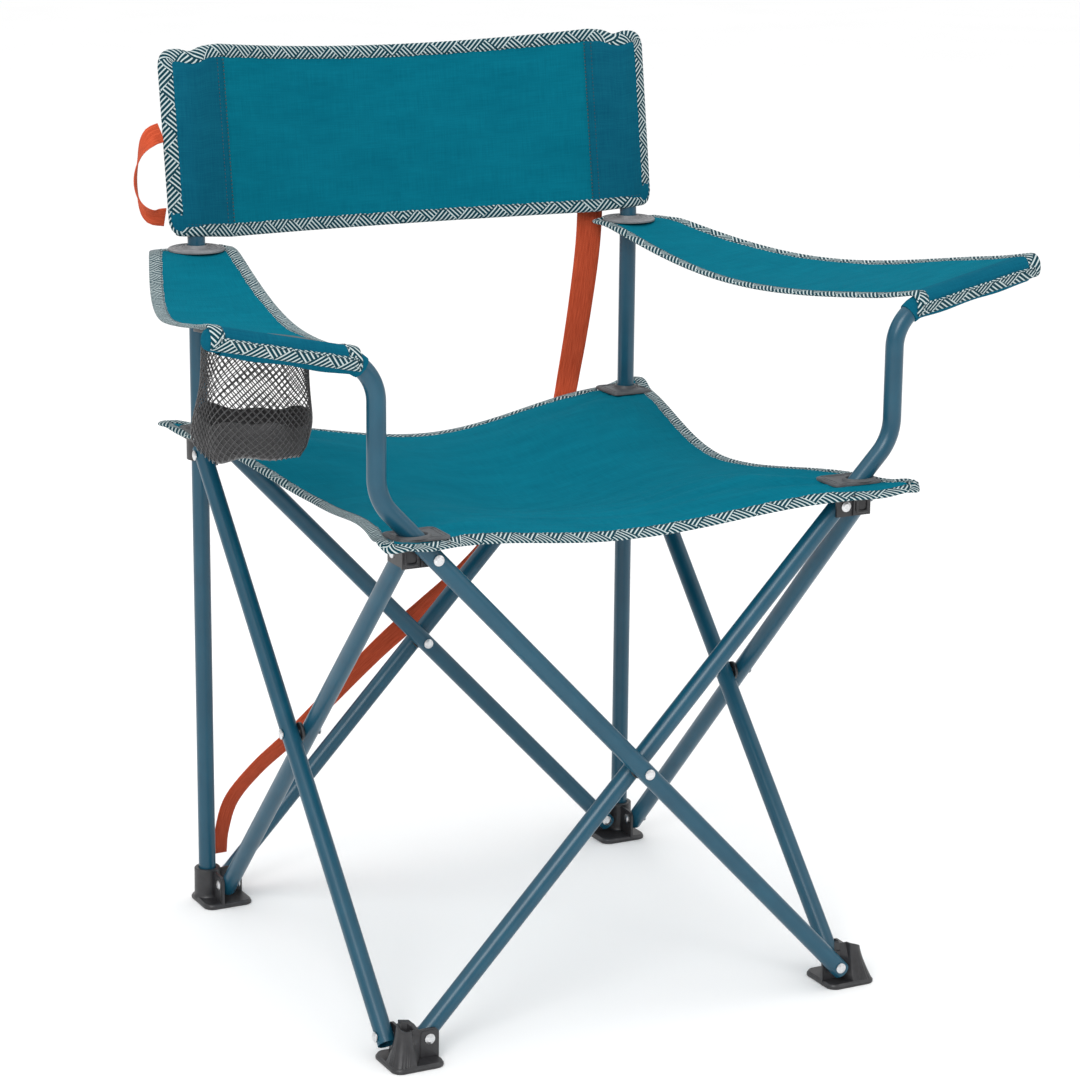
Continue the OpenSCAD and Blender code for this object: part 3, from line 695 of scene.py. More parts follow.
for right in (False, True):
    c = (POLE if right else -POLE, POLE)
    t = RING_Z + 2.2
    profile = [(0, 0, RING_Z), (0, 0, t + 2.2), (0, 0.8, t + 2.8), (0, 2.0, t + 2.4), (0, 2.8, t + 0.5),
               *lines(t + 0.4, [(0, 5.2)], 0.5), (0, 7.2, t + 0.4), *lines(t, [(0, 10.4), (0, 14.6)], 0.5),
               (0, 16.6, t), (0, 17.6, t - 0.8), (0, 17.6, RING_Z)]
    ring = ringed(ellipse(c, POLE_HOLE, POLE_HOLE), ellipse(c, 40, 40), profile)
    ob = make("ring_" + SIDE[right], *ring, M_GREY, sharp=50, outward=True)
    fit(ob, POLE_BODY[right], "corner_plate", SIDE[right] + "_arm_ring")


def corner_points(k, pts):
    """Points of the front left corner, turned to corner k (1 front right, 2 rear right, 3 rear left)."""
    a = math.radians(90 * k)
    p = np.array(pts, float)
    return np.stack([p[..., 0] * math.cos(a) - p[..., 1] * math.sin(a),
                     p[..., 0] * math.sin(a) + p[..., 1] * math.cos(a), p[..., 2]], -1)


def upright(data, y):
    """Stands a flat ring up in the plane y, its height towards the front."""
    v, f, u = data
    return np.column_stack([v[:, 0], y - v[:, 2], v[:, 1]]), f, u


def slab(profile, a, b, k, swap=False):
    """A flat outline (x, z) between two values of y, in the corner frame; swap puts it along y."""
    profile = np.asarray(profile, float)
    n = len(profile)
    pts = []
    for y in (a, b):
        for x, z in profile:
            pts.append([y, x, z] if swap else [x, y, z])
    faces = [list(range(n)), [n + i for i in reversed(range(n))]]
    faces += [[i, n + i, n + (i + 1) % n, (i + 1) % n] for i in range(n)]
    if swap:
        faces = [f[::-1] for f in faces]
    uvs = [(0, 0)] * sum(len(f) for f in faces)
    return corner_points(k, pts), [f[::-1] for f in faces], uvs


def arc(cx, cz, r, a0, a1):
    return [[cx + r * math.cos(a), cz + r * math.sin(a)] for a in np.radians(np.linspace(a0, a1, 7))]


# raised frame and rib on the front bracket's walls
for right, body in enumerate(("front_left_bracket", "front_right_bracket")):
    c = (-214.5, 441.5)
    edge = ringed(outline(c, c, (4.4, 6.0), 2), outline(c, c, (6.8, 8.4), 3.5),
                  [(0, 0, 0), (0, 0, 1.3), (0, 0.5, 1.7), (1, -0.5, 1.7), (1, 0, 1.2), (1, 0, 0)])
    rib = slab([[-206.6, 431.5], [-204.8, 431.5], [-204.8, 452], [-206.6, 452]], -222.6, -220.5, 0)
    v, f, u = merge([upright(edge, -221.0), rib])
    fit(make("frame_" + body, mirror(v, right), f, u, M_DARK, sharp=40, outward=True), body, "moulding")

FOOT_MID, FOOT_HALF, SOCKET_TOP, BASE_TOP = 213.0, 24.0, 32.0, 4.0
WALL, RAISED, POST_IN = (-221.2, -218.8), (-221.7, -220), -207.5


def post_rings(rim, mid):
    """A hollow post whose outer corner flares down to the rim of the base, as stacked rings."""
    rim_angle = np.degrees(np.arctan2(rim[:, 1] - mid[1], rim[:, 0] - mid[0]))
    rows = []
    for t in np.linspace(0, 1, 18):
        ring = []
        for a in np.linspace(-98, -178, 40):
            q = (a + 138) / 40
            j = np.argmin(np.abs((rim_angle - a + 180) % 360 - 180))
            low_d = np.hypot(*(rim[j] - mid)) - 1.6
            high_d = 8.4 + 9.0 * max(0, math.cos(q * math.pi / 2)) ** 0.55
            crease = 0.6 * math.exp(-((abs(q) - 0.45) / 0.08) ** 2) * (1 - t)
            d = high_d + (low_d - high_d) * (1 - t) ** 1.3 - crease
            ring.append([mid[0] + d * math.cos(math.radians(a)), mid[1] + d * math.sin(math.radians(a)),
                         BASE_TOP + (29.5 - 3.7 * math.sin(q * math.pi / 2)) * t])
        z1, z2 = BASE_TOP + 33 * t, BASE_TOP + 26 * t
        ring += [[WALL[0], POST_IN, z1], [-211, POST_IN, z1 - 2 * t], [POST_IN, -211, z2 + 2 * t],
                 [POST_IN, WALL[0], z2]]
        rows.append(ring)
    # over the lip and down inside
    top = np.array(rows[-1])
    c = top.mean(0)
    for shrink, drop in ((0.93, -0.9), (0.72, -0.9), (0.66, 0.2), (0.6, 12.0), (0.02, 12.5)):
        rows.append((top - c) * shrink + c - [0, 0, drop])
    return np.array(rows)


FEET = (("front_left_foot", "front_left_foot"), ("front_right_foot", "front_right_foot"),
        ("rear_right_foot", "rear_right_foot"), ("rear_left_foot", "root"))
for k, (node, body) in enumerate(FEET):
    rear = k >= 2
    mid = (-FOOT_MID, -FOOT_MID)
    rim = outline(mid, mid, (FOOT_HALF, FOOT_HALF), 9, 72)
    dot = ellipse(mid, 0.5, 0.5, 72)
    v, f, u = ringed(dot, rim, [(0, 0, 0), (1, -1.0, 0), (1, -0.2, 0.5), (1, 0, 1.4), (1, -0.1, 2.6),
                                (1, -0.9, 3.4), (1, -1.2, 4.2), (1, -2.0, 4.8), (0, 0, 5.0)], close=False)
    parts = [(corner_points(k, v), f, u)]
    # two walls with a rivet each; their outline is low by the tubes and rises to the corner
    wall = [[-222, 2], [-189.6, 2], [-189.4, 22], *arc(-194.4, 25.2, 5, 0, 90), [-206, 30.2],
            [-212, 29.6 if rear else 30], [-222, SOCKET_TOP - 1 if rear else 30]]
    raised = [[-206.5, 5], [-190.8, 5], [-190.6, 22], *arc(-195.6, 24.4, 4.4, 0, 90), [-204.0, 28.6],
              *arc(-203.8, 26.1, 2.5, 90, 180), [-206.4, 15]]
    parts += [slab(shape, *span, k, along) for shape, span in ((wall, WALL), (raised, RAISED))
              for along in (False, True)]
    if rear:
        c = (-POLE, -POLE)
        v, f, u = ringed(ellipse(c, 8.1, 8.1), ellipse(c, 12.4, 12.4),
                         [(0, 0, 3), (0, 0, SOCKET_TOP - 0.6), (0, 0.7, SOCKET_TOP),
                          (1, -0.9, SOCKET_TOP), (1, -0.1, SOCKET_TOP - 0.9), (1, 0, 8), (1, 0.5, 5.4),
                          (1, 1.4, 4.2), (1, 1.4, 3)])
    else:
        v, f, u = stack(post_rings(rim, mid))
    parts.append((corner_points(k, v), f, u))
    ob = make(f"foot_{k}", *merge(parts), M_DARK, sharp=32, outward=True)
    bevel(ob, 0.0005, 2, 50)
    fit(ob, body, "moulding", node)

# --- Seat -----------------------------------------------------------------------------------
SEAT_HALF, SEAT_PULL, SEAT_SAG, EDGE_SAG, SEAT_FLAT, SEAT_TIP_R = 258.0, 52.0, 44.0, 20.0, 0.78, 14.0
FOLD_AT = 240.0  # from the seat's middle to its front edge at the plates, about
TAPE_SEAM, STITCH_UP = TAPE_W - 1.2, 1.45  # where a row of stitches lies on the tape


def dip(s):
    return np.where(np.abs(s) < SEAT_FLAT, (1 + np.cos(np.pi * s / SEAT_FLAT)) / 2, 0)


def seat_surface(nu, nv):
    s, t = np.meshgrid(np.linspace(-1, 1, nu), np.linspace(-1, 1, nv), indexing="ij")
    x = s * (SEAT_HALF - SEAT_PULL * (1 - np.abs(t) ** 1.5))
    y = t * (SEAT_HALF - SEAT_PULL * (1 - np.abs(s) ** 1.5))
    both = dip(s) * dip(t)
    z = SEAT_Z - EDGE_SAG * (dip(s) + dip(t) - both) - (SEAT_SAG - EDGE_SAG) * both
    corners = [(sx, sy) for sx in (-1, 1) for sy in (-1, 1)]
    for sx, sy in corners:
        # the tips are rounded, and turn up a little beyond the plates
        tip = (sx * (SEAT_HALF - SEAT_TIP_R - 3), sy * (SEAT_HALF - SEAT_TIP_R - 3))
        x, y = draw_in(x, y, tip, (sx, sy), SEAT_TIP_R, slack=2)
        z = z + 1.2 * np.clip((np.hypot(x, y) - 316) / 26, 0, 1) ** 2
    # the front edge hangs down, and stands out in front of the brackets' plates
    inside = (1 + t) * FOLD_AT
    at_plate = np.exp(-((np.abs(x) - 212) / 36) ** 4)
    z = z - 6.0 * np.exp(-(inside / 7.5) ** 2) * (1 - at_plate)
    z = z - 3.2 * np.exp(-(inside / 4) ** 2) * at_plate
    y = y - 8.5 * np.exp(-(inside / 5) ** 2) * at_plate
    # folds that run in from the corners, faint cross wrinkles near the front, soft waves
    calm = np.clip((1 - np.abs(s)) * 8, 0, 1) * np.clip((1 - np.abs(t)) * 8, 0, 1)
    w = np.zeros_like(x)
    for sx, sy in corners:
        dx, dy = x - sx * 215, y - sy * 215
        a = np.arctan2(-dy * sy, -dx * sx)
        w += 1.5 * np.exp(-((np.hypot(dx, dy) - 85) / 60) ** 2) * np.cos(11 * (a - 0.78) + sx * 0.6 + sy)
    lane = np.exp(-((t + 0.62) / 0.26) ** 2) * np.exp(-((s - 0.15) / 0.55) ** 2)
    w += 1.1 * lane * np.sin(y / 4.6 + 0.9 * np.sin(x / 46) + 0.5 * np.sin(x / 23 + 1))
    w += hills(x, y, 9, 150, 0.9) + hills(x, y, 9, 60, 0.25)
    z = z + w * calm
    return np.stack([x, y, z], -1)


n_half = 44
P = seat_surface(2 * n_half + 1, 2 * n_half + 1)
N = grid_normals(P)
for body, first_row, side, held_by in (
        ("seat_front", 0, 3, ["front_left_bracket", "front_right_bracket"]),
        ("seat_rear", n_half, 1, ["rear_left_slider", "rear_right_slider"])):
    Q, NQ = (a[:, first_row:first_row + n_half + 1] for a in (P, N))
    panel = cloth("cloth_" + body, Q, M_CLOTH, N=NQ)
    tape, tp, tn, ti = binding("tape_" + body, *boundary(Q, NQ, side, side + 3))
    row = stitches("stitch_" + body, tp + ti * TAPE_SEAM + tn * STITCH_UP, tn)
    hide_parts(body)
    for ob in (panel, tape, row):
        fit(ob, body, "binding" if ob is tape else "cloth")
        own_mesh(ob)

# --- Backrest -------------------------------------------------------------------------------
BACK_LOW, BACK_HIGH, SEAM_X, EDGE_X, BACK_BOW = 636.0, 797.0, 189.0, 247.0, 38.0
OPEN_END = 0.86  # share of the sleeve's bulge that is left at its open bottom


def lean_y(z):
    return POLE + (z - POLE_BEND_Z) * math.tan(POLE_LEAN)


def back_outline(x):
    """Bottom and top height of the backrest at x, with the dip over each pole."""
    a = np.abs(x)
    bow = 1 - np.minimum(a / SEAM_X, 1) ** 2
    out = np.clip((a - SEAM_X) / (EDGE_X - SEAM_X), 0, 1)
    low = BACK_LOW - 5 * bow + 4 * out
    high = BACK_HIGH - 2 + 11 * (1 - bow) - 4 * out
    high = high - 3.6 * np.exp(-((a - POLE + 6) / 8.0) ** 2)
    corner = np.clip((a - (EDGE_X - 11)) / 11, 0, 1)
    round_in = 11 * (1 - np.sqrt(np.clip(1 - corner**2, 0, 1)))
    return low + round_in, high - round_in


def sleeve_bulge(x):
    a = np.abs(np.abs(x) - POLE)
    reach = np.where(np.abs(x) < POLE, POLE - SEAM_X, EDGE_X - POLE)
    q = 6.0
    peak = 1 - q / np.sqrt(reach**2 + q * q)
    return 9.3 * np.clip((1 - np.sqrt(a * a + q * q) / np.sqrt(reach**2 + q * q)) / peak, 0, 1)


def top_close(h):
    """A sleeve is sewn flat along its top and open at its bottom."""
    t = np.clip((1 - h) / 0.16, 0, 1)
    return np.sqrt(t * (2 - t)) * (OPEN_END + (1 - OPEN_END) * np.clip(h / 0.12, 0, 1))


def back_mid(x, h):
    """Middle surface: x across, h from 0 to 1 upwards."""
    x, h = np.asarray(x, float), np.asarray(h, float)
    low, high = back_outline(x)
    z = low + h * (high - low)
    bow = 1 - np.minimum(np.abs(x) / SEAM_X, 1) ** 2
    y = lean_y(z) + BACK_BOW * bow
    ripple = 0.5 * np.sin(x / 31 + 1) * np.sin(np.pi * h) * bow
    return np.stack([x, y + ripple, z], -1)


nx, nh = 49, 25
xs = np.linspace(-SEAM_X, SEAM_X, 2 * nx - 1)
X, H = np.meshgrid(xs, np.linspace(0, 1, nh), indexing="ij")
BP = back_mid(X, H)
BN = grid_normals(BP, (0, -1, 0))
# out of the backrest's front, and up along it
FWD = np.array([0, -math.cos(POLE_LEAN), math.sin(POLE_LEAN)])
UP = np.array([0, math.sin(POLE_LEAN), math.cos(POLE_LEAN)])
BACK_STITCH_UP = 1.9

for right in (False, True):
    s = 1 if right else -1
    body = "back_" + SIDE[right]
    cols = slice(nx - 1, 2 * nx - 1) if right else slice(0, nx)
    Q, NQ = BP[cols], BN[cols]
    panel = cloth("cloth_" + body, Q[::-1], M_CLOTH, N=NQ[::-1])
    # sleeve: front and back sheets that meet at the seam and at the outer edge
    sx = np.concatenate([np.linspace(SEAM_X - 3, POLE, 16), np.linspace(POLE, EDGE_X, 14)[1:]]) * s
    SX, SH = np.meshgrid(sx, np.linspace(0, 1, 41), indexing="ij")
    mid = back_mid(SX, SH)
    bulge = sleeve_bulge(SX) * top_close(SH) + 0.9
    fold = ((0.5 * np.sin(SH * 21 + 1) + 0.35 * np.sin(SH * 47)) * np.sin(np.pi * SH) ** 2
            * np.exp(-((np.abs(SX) - POLE + 17) / 9) ** 2))
    front = mid + FWD * (bulge + fold * 0.7)[..., None]
    rear = (mid - FWD * bulge[..., None])[::-1]
    sleeve_front = cloth("sleeve_front_" + body, front, M_SLEEVE, thick=0.8, N=grid_normals(front, FWD))
    sleeve_rear = cloth("sleeve_rear_" + body, rear, M_SLEEVE, thick=0.8, N=grid_normals(rear, -FWD))
    # binding round the half: from the middle of the top, out, down the edge and back
    top = np.linspace(0, EDGE_X, 120)
    path = [back_mid(x * s, 1) for x in top]
    path += [back_mid(EDGE_X * s, h) for h in np.linspace(1, 0, 50)[1:-1]]
    path += [back_mid(x * s, 0) + FWD * sleeve_bulge(x) * OPEN_END * (x > SEAM_X) for x in top[::-1]]

    def lift(q, s=s):
        lo, hi = back_outline(q[:, 0])
        h = (q[:, 2] - lo) / (hi - lo)
        inside = (np.abs(q[:, 0]) > SEAM_X) & (h > 0.1)
        return np.where(inside, sleeve_bulge(q[:, 0]) * top_close(np.clip(h, 0, 1)), 0)

    path = np.array(path)
    tape, tp, tn, ti = binding("tape_" + body, path, np.repeat(FWD[None], len(path), 0), thick=2.4,
                               lift=lift, inward=lambda p, n, w, s=s: s * np.cross(w, n))
    rows = [stitches("stitch_edge_" + body, tp + ti * TAPE_SEAM + tn * BACK_STITCH_UP, tn)]
    hem = np.array([back_mid(x, 0) - FWD * (sleeve_bulge(x) * OPEN_END + 0.6)
                    for x in np.linspace(SEAM_X - 2, EDGE_X - 6, 40) * s])
    hem_tape = binding("tape_hem_" + body, hem, np.repeat(-FWD[None], len(hem), 0), thick=1.0,
                       inward=lambda p, n, w: np.broadcast_to(UP, p.shape))[0]
    for off in (0.0, 6.5):
        line = np.array([back_mid((SEAM_X - 4 + off) * s, h) for h in np.linspace(0.075, 0.925, 60)])
        for face, way in (("", 1), ("_rear", -1)):
            rows.append(stitches(f"stitch_seam{face}{int(off)}_{body}", line + FWD * way * BACK_STITCH_UP,
                                 np.repeat(way * FWD[None], len(line), 0), r=0.5))
    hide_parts(body + "_panel")
    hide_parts(body + "_sleeve")
    for ob in (panel, sleeve_front, sleeve_rear, tape, hem_tape, *rows):
        is_tape = ob in (tape, hem_tape)
        fit(ob, body, "binding" if is_tape else "dark_cloth" if "sleeve" in ob.name else "cloth")

# --- Armrests -------------------------------------------------------------------------------
SLEEVE_IN, SLEEVE_OUT, ARM_SAG, WRAP_R = 266.0, 386.0, 21.0, 10.6
ARM_CLOTH_Z = RING_Z - 0.3 - 0.8
CUP_X, CUP_Y, CUP_R, CUP_DEPTH, CUP_TOP = -318.0, -150.0, 43.0, 80.0, 608.0


def tube_z(x):
    return ARM_Z + (np.abs(x) - POST_X) * math.tan(ARM_RISE)


def arm_inner(v):
    return -SLEEVE_IN + 81 * v + 4 * np.sin(np.pi * v)


def arm_outer(v):
    return -(SLEEVE_OUT + 4) + 129 * v - 14 * np.sin(np.pi * v)


def arm_surface(tube_y):
    """Left armrest from its rear end forward over the arm tube: grid (across, along)."""
    rows = []
    for uu in np.linspace(0, 1, 37):
        line = []
        for v in np.linspace(1, 0.045, 44):
            x = arm_inner(v) * (1 - uu) + arm_outer(v) * uu
            front_y = tube_y + 14
            y = front_y + (POLE + 17 - front_y) * v
            front_z = tube_z(x) + 5.0
            ease = v * v * (3 - 2 * v)
            sag = ARM_SAG * np.sin(np.pi * min(1, 1.1 * v**1.25))
            curl = 2.5 * (2 * uu - 1) ** 2 * np.sin(np.pi * v)
            line.append([x, y, front_z * (1 - ease) + ARM_CLOTH_Z * ease - sag + curl])
        x0 = arm_inner(0) * (1 - uu) + arm_outer(0) * uu
        for a in np.radians(np.linspace(-22, 126, 16)):
            line.append([x0, tube_y - WRAP_R * math.sin(a),
                         tube_z(x0) + WRAP_R * math.cos(a) / math.cos(ARM_RISE)])
        line = np.array(line)
        # ease the join between the hanging cloth and the tube
        for _ in range(3):
            line[40:48] = (line[39:47] + line[40:48] * 2 + line[41:49]) / 4
        rows.append(resample(line, 110))
    return np.array(rows)


def flap_point(x, a, tube_y):
    """A point of the flap at angle a round the arm tube; it hangs looser towards its edge."""
    r_y = 10.3 + 2.2 * max(0, (a - 120) / 115)
    r_z = 10.3 + 4.0 * max(0, (a - 110) / 125) * (0.7 + 0.3 * math.sin(x / 9))
    a = math.radians(a)
    return [-x, tube_y - r_y * math.sin(a), tube_z(x) + r_z * math.cos(a)]


def round_rear(P):
    """Rounds the two rear corners of a left armrest (rear is the first row of the grid)."""
    P, r = P.copy(), 16.0
    for edge, s in ((0, 1), (-1, -1)):
        tip = P[edge, 0]
        j = np.argmin(np.abs(P[edge, :, 1] - (tip[1] - r)))
        centre = (P[edge, j, 0] - s * r, tip[1] - r)
        P[..., 0], P[..., 1] = draw_in(P[..., 0], P[..., 1], centre, (s, 1), r)
    return P


for right in (False, True):
    body = SIDE[right] + "_armrest"
    ty = -PLANE + (TUBE_GAP if right else -TUBE_GAP)
    G = round_rear(arm_surface(ty))
    w = hills(G[..., 0], G[..., 1], 7, 90, 0.7)
    across, along = (np.linspace(0, 1, n) for n in G.shape[:2])
    calm = np.clip(across * 8, 0, 1) * np.clip((1 - across) * 8, 0, 1)
    G[..., 2] += w * calm[:, None] * np.clip(along * 6, 0, 1) * np.clip((0.86 - along) * 8, 0, 1)
    G = mirror(G, right)
    NG = grid_normals(G, (0, 0, 1))
    order = slice(None, None, 1 if right else -1)
    hole = None if right else (CUP_X, CUP_Y, CUP_R + 2.5)
    panel = cloth("cloth_" + body, G[order], M_CLOTH, N=NG[order], hole=hole)
    # the cloth over the tube is the darker sleeve
    panel.data.materials.append(M_SLEEVE)
    for face in panel.data.polygons:
        if face.center[1] * 1000 - CENTRE_Y < ty + 13:
            face.material_index = 1
    # the tape starts at the middle of the rear end and goes all the way round
    rim = [np.roll(a[:-1], -(G.shape[0] // 2), 0) for a in boundary(G[::-1], NG[::-1], 0, 4)]

    def inward(p, n, way):
        c = np.cross(n, way)
        return c if np.sum(c * (np.mean(p, 0) - p)) > 0 else -c

    tape, tp, tn, ti = binding("tape_" + body, *(np.vstack([a, a[:1]]) for a in rim), inward=inward)
    row = stitches("stitch_" + body, tp + ti * TAPE_SEAM + tn * STITCH_UP, tn)
    # sleeve round the arm tube, closed over its end
    tube_line = resample(ARM_PATHS[right], 1200)
    tube_line = tube_line[(np.abs(tube_line[:, 0]) > 262) & (tube_line[:, 2] > 560)]
    end = unit(tube_line[-1] - tube_line[-4])
    sp = np.vstack([resample(tube_line, 24), tube_line[-1] + end * np.array([[3.0], [5.0], [6.2], [6.8]])])
    rad = np.concatenate([[9.2], np.full(22, 9.6), [9.4, 8.6, 6.8, 3.8, 0.5]])
    side, up = frames(sp, [0, 1, 0])
    sec = circle(1.0, 28) * rad[:, None, None] * (1 + 0.02 * np.sin(np.arange(28) * 2.3 + 1))[:, None]
    sleeve = make("sleeve_" + body, *sweep_data(sp, side, up, sec), M_SLEEVE, sharp=60)
    # hanging flap under the tube
    flap = mirror([[flap_point(x, a, ty) for a in np.linspace(70, 235, 14)]
                   for x in np.linspace(268, 382, 24)], right)
    outwards = flap[12, 7] - flap.mean((0, 1))
    flap = cloth("flap_" + body, flap, M_SLEEVE, thick=0.9, N=grid_normals(flap, outwards))
    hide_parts(body)
    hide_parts(SIDE[right] + "_arm_sleeve")
    # an axis tilted a little across the arm, and the middle of the sleeve, kept with the left armrest's
    # grid
    sign = -1 if right else 1
    across_arm = np.array([-sign * math.cos(ARM_RISE), 0, math.sin(ARM_RISE)])
    axis = unit(0.9957 * np.array([0.013 * sign, 0.9988, 0.06]) + 0.092 * across_arm)
    sleeve_mid = [sign * -0.326, (ty + CENTRE_Y) / 1000, tube_z(326) / 1000]
    for ob in (panel, tape, row):
        fit(ob, body, "binding" if ob is tape else "cloth")
        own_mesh(ob)
    for ob in (sleeve, flap):
        fit(ob, body, "dark_cloth")
    if not right:
        LEFT_ARM = (G, axis, sleeve_mid)

# --- Cup holder -----------------------------------------------------------------------------
def bag_radius(h, a):
    """Radius at height share h (0 base, 1 rim) and angle a."""
    swell = 1.0 + 0.10 * math.exp(-((h - 0.25) / 0.3) ** 2) - 0.02 * h
    pull = 1 + (0.05 * math.sin(3 * a + 5 * h) + 0.03 * math.sin(7 * a + 1)) * (1 - h) ** 0.5
    return CUP_R * swell * pull * (1 - 0.10 * math.exp(-(h / 0.06) ** 2))


BAG_LOW = CUP_TOP - 6 - CUP_DEPTH
BAG_SHIFT = np.array([-6, -3])  # how far the bag's foot hangs to one side


def rim_z(x):
    return CUP_TOP + 1 + (CUP_X - x) * math.tan(ARM_RISE) * 0.85


def bag_point(h, a):
    r = bag_radius(h, a)
    x, y = CUP_X + r * math.cos(a), CUP_Y + r * math.sin(a)
    low = BAG_LOW + 3 + (3.0 * math.sin(3 * a + 0.6) + 1.5 * math.sin(5 * a)) * max(0, 1 - 2 * h)
    z = low + h * (rim_z(x) - low)
    return np.array([*((x, y) + BAG_SHIFT * (1 - h)), z])


# two families of strands wind round the bag, one each way
STRANDS, CORD_R = 46, 0.5
strands = []
for way in (1, -1):
    for start in np.linspace(0, 2 * np.pi, STRANDS, endpoint=False):
        pts = []
        for h in np.linspace(0, 1, 22):
            a = start + way * h * CUP_DEPTH / CUP_R
            pts.append(bag_point(h, a) + CORD_R / 2 * way * np.array([math.cos(a), math.sin(a), 0]))
        pts = np.array(pts)
        out = unit((pts - [CUP_X, CUP_Y, 0]) * [1, 1, 0])
        strands.append(sweep_data(pts, *frames(pts, out), circle(CORD_R, 4)))
bag_net = make("cup_net", *merge(strands), M_NET, sharp=None)

# woven base with a turned-up hem
angles = np.linspace(0, 2 * np.pi, 61)
foot = np.array([CUP_X, CUP_Y]) + BAG_SHIFT
base_rows = []
for h, k in ((0.0, 0.0), (0.0, 0.5), (0.0, 0.94), (0.03, 1.0), (0.14, 1.0), (0.26, 1.0), (0.34, 1.0)):
    row = []
    for a in angles:
        q = bag_point(h, a)
        wave = (2.6 * math.sin(3 * a + 1) + 1.6 * math.sin(7 * a)) * (h > 0.2)
        row.append([*(foot + (q[:2] - foot) * k * 0.975), q[2] * k + (BAG_LOW + 2) * (1 - k) + wave])
    base_rows.append(row)
bag_base = cloth("cup_base", np.array(base_rows), M_NET, thick=1.0)
# hem round the top of the bag
hem_pts = np.array([bag_point(1.0, a) for a in angles])
hem = sweep_data(hem_pts, *frames(hem_pts, [0, 0, 1]), [[2.2, 1.0], [2.2, -1.0], [-5.5, -0.9], [-5.5, 0.9]])
bag_hem = make("cup_hem", *hem, M_NET, sharp=50)
# stiff oval rim in the hole of the armrest, lying on the cloth
flat_g = LEFT_ARM[0].reshape(-1, 3)
rim_line = []
for q in circle(CUP_R + 3.4, 72) + [CUP_X, CUP_Y]:
    # as high as the cloth there, which leaves out the part wrapped under the tube
    d = np.hypot(*(flat_g[:, :2] - q).T) + np.where(flat_g[:, 2] < 595, 50, 0)
    near = np.argsort(d)[:5]
    w = 1 / (d[near] + 0.2)
    rim_line.append([*q, (flat_g[near, 2] * w).sum() / w.sum()])
rim_line.append(rim_line[0])
rim_line = np.array(rim_line)
rim_line[:, 2] = (np.roll(rim_line[:, 2], 1) + rim_line[:, 2] * 2 + np.roll(rim_line[:, 2], -1)) / 4
rim_line[-1] = rim_line[0]
rim = sweep_data(rim_line, *frames(rim_line, [0, 0, 1]),
                 [[2.4, 2.2], [2.4, -3.4], [1.4, -4.2], [-3.0, -4.2], [-3.0, 3.0], [1.4, 3.0]])
bag_rim = make("cup_rim", *rim, M_PLATE, sharp=50, outward=True)
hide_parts("cup_bag")
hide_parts("cup_ring")
for ob in (bag_net, bag_base, bag_hem, bag_rim):
    fit(ob, "left_armrest", "corner_plate" if ob is bag_rim else "net")
    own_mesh(ob)


# --- Straps ---------------------------------------------------------------------------------
def strap(name, route, across, width, step):
    """Webbing along a route in metres, its width along the directions across."""
    pts = np.array(route) * 1000 - [0, CENTRE_Y, 0]
    count = int(lengths(pts)[-1] / step)
    p = spline(pts, count)
    a, t = width / 2, WEB_THICK / 2
    half = [[a, t * 0.4], [a - 0.7, t], [a * 0.5, t], [0, t], [-a * 0.5, t], [-a + 0.7, t], [-a, t * 0.4]]
    sec = [[a, -t * 0.4], *half, *([-x, -z] for x, z in half[:-1])]
    side, up = frames(p, resample(across, count))
    return make(name, *sweep_data(p, side, up, sec), M_WEB, sharp=60), p


WEB_THICK = 1.4
# how far each point of the strap turns its flat side to face along FLAT_WAY
FACING = [0.97, 0.97, 0.95, 0.9, 0.8, 0.7, 0.62, 0.62, 0.68, 0.72, 0.72, 0.68, 0.62, 0.56, 0.5, 0.4]
FLAT_WAY = np.array([0.443, 0.861, -0.248])
across = [f * unit(np.cross(w, FLAT_WAY)) + math.sqrt(1 - f * f) * FLAT_WAY
          for f, w in zip(FACING, unit(np.gradient(np.array(STRAP_ROUTE), axis=0)))]
long_strap, line = strap("carry_strap", STRAP_ROUTE, across, width=25, step=6.0)
fit(long_strap, "root", "webbing", "long_strap")
place(line).tolist()
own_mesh(long_strap)

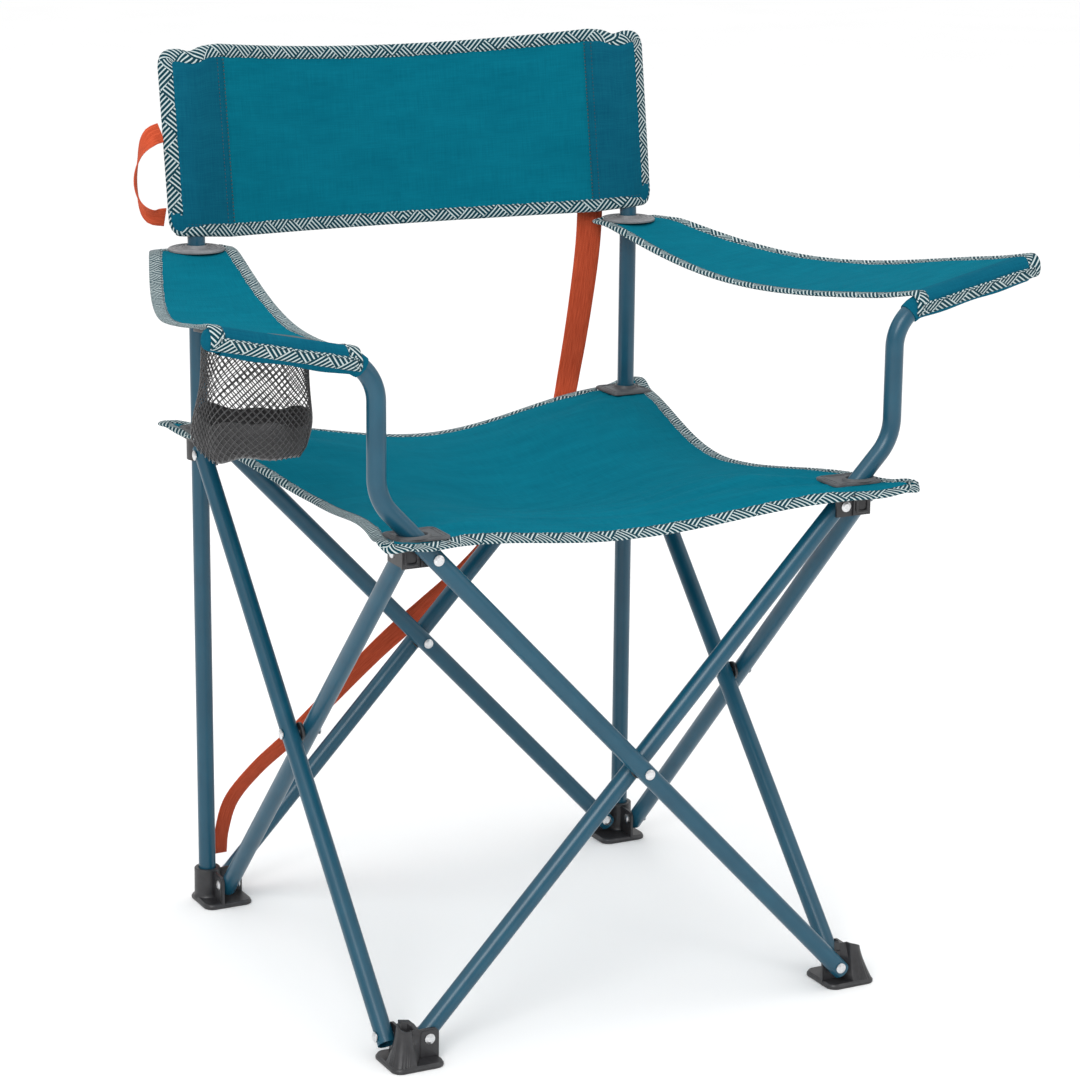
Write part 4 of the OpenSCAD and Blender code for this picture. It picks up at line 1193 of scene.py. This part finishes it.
loop_across = [[0.1, 0.3, 1], [0.3, 0.6, 0.6], [0.44, 0.86, -0.2], [0.44, 0.86, -0.25], [0.44, 0.86, -0.25],
               [0.3, 0.6, -0.8], [0.1, 0.3, -1]]
loop = strap("carry_loop", LOOP_ROUTE, loop_across, width=18, step=3.0)[0]
fit(loop, "back_left", "webbing", "strap_loop")

# --- Floor and light ------------------------------------------------------------------------
paper = Mat("floor_paper")
greys = [(0.3, [0.96] * 3), (0.7, [0.9456] * 3)]
paper.set(Base_Color=paper.ramp(paper.noise(paper.coords(), 3, 2), greys), Roughness=0.9,
          Specular_IOR_Level=0.2)
bpy.ops.mesh.primitive_plane_add(size=30, location=(0, 0, 0))
floor = bpy.context.object
floor.name = "floor"
floor.data.materials.append(paper.m)

world = bpy.data.worlds.new("studio")
bpy.context.scene.world = world
world.use_nodes = True
nt = world.node_tree
# white overhead, greyer towards the horizon, so that the tubes get darker edges
split = nt.nodes.new("ShaderNodeSeparateXYZ")
nt.links.new(nt.nodes.new("ShaderNodeTexCoord").outputs["Generated"], split.inputs[0])
sky = nt.nodes.new("ShaderNodeValToRGB")
sky.color_ramp.elements[0].position, sky.color_ramp.elements[0].color = 0.05, (0.5, 0.5, 0.5, 1)
sky.color_ramp.elements[1].position, sky.color_ramp.elements[1].color = 0.6, (1, 1, 1, 1)
nt.links.new(split.outputs[2], sky.inputs[0])
nt.links.new(sky.outputs[0], nt.nodes["Background"].inputs[0])
nt.nodes["Background"].inputs[1].default_value = 1.12


def area(name, loc, target, side, power):
    """A square soft light at loc that shines on target."""
    data = bpy.data.lights.new(name, "AREA")
    data.shape = "RECTANGLE"
    data.size = data.size_y = side
    data.energy = power
    ob = bpy.data.objects.new(name, data)
    bpy.context.scene.collection.objects.link(ob)
    ob.location = loc
    ob.rotation_mode = "QUATERNION"
    ob.rotation_quaternion = (Vector(target) - Vector(loc)).to_track_quat("-Z", "Y")


area("key", (-2.2, -2.6, 2.6), (0, 0, 0.4), 1.8, 70)
area("fill", (2.6, -2.0, 1.8), (0, 0, 0.4), 2.0, 10)
area("top", (0.2, 0.4, 3.2), (0, 0, 0.3), 2.4, 14)
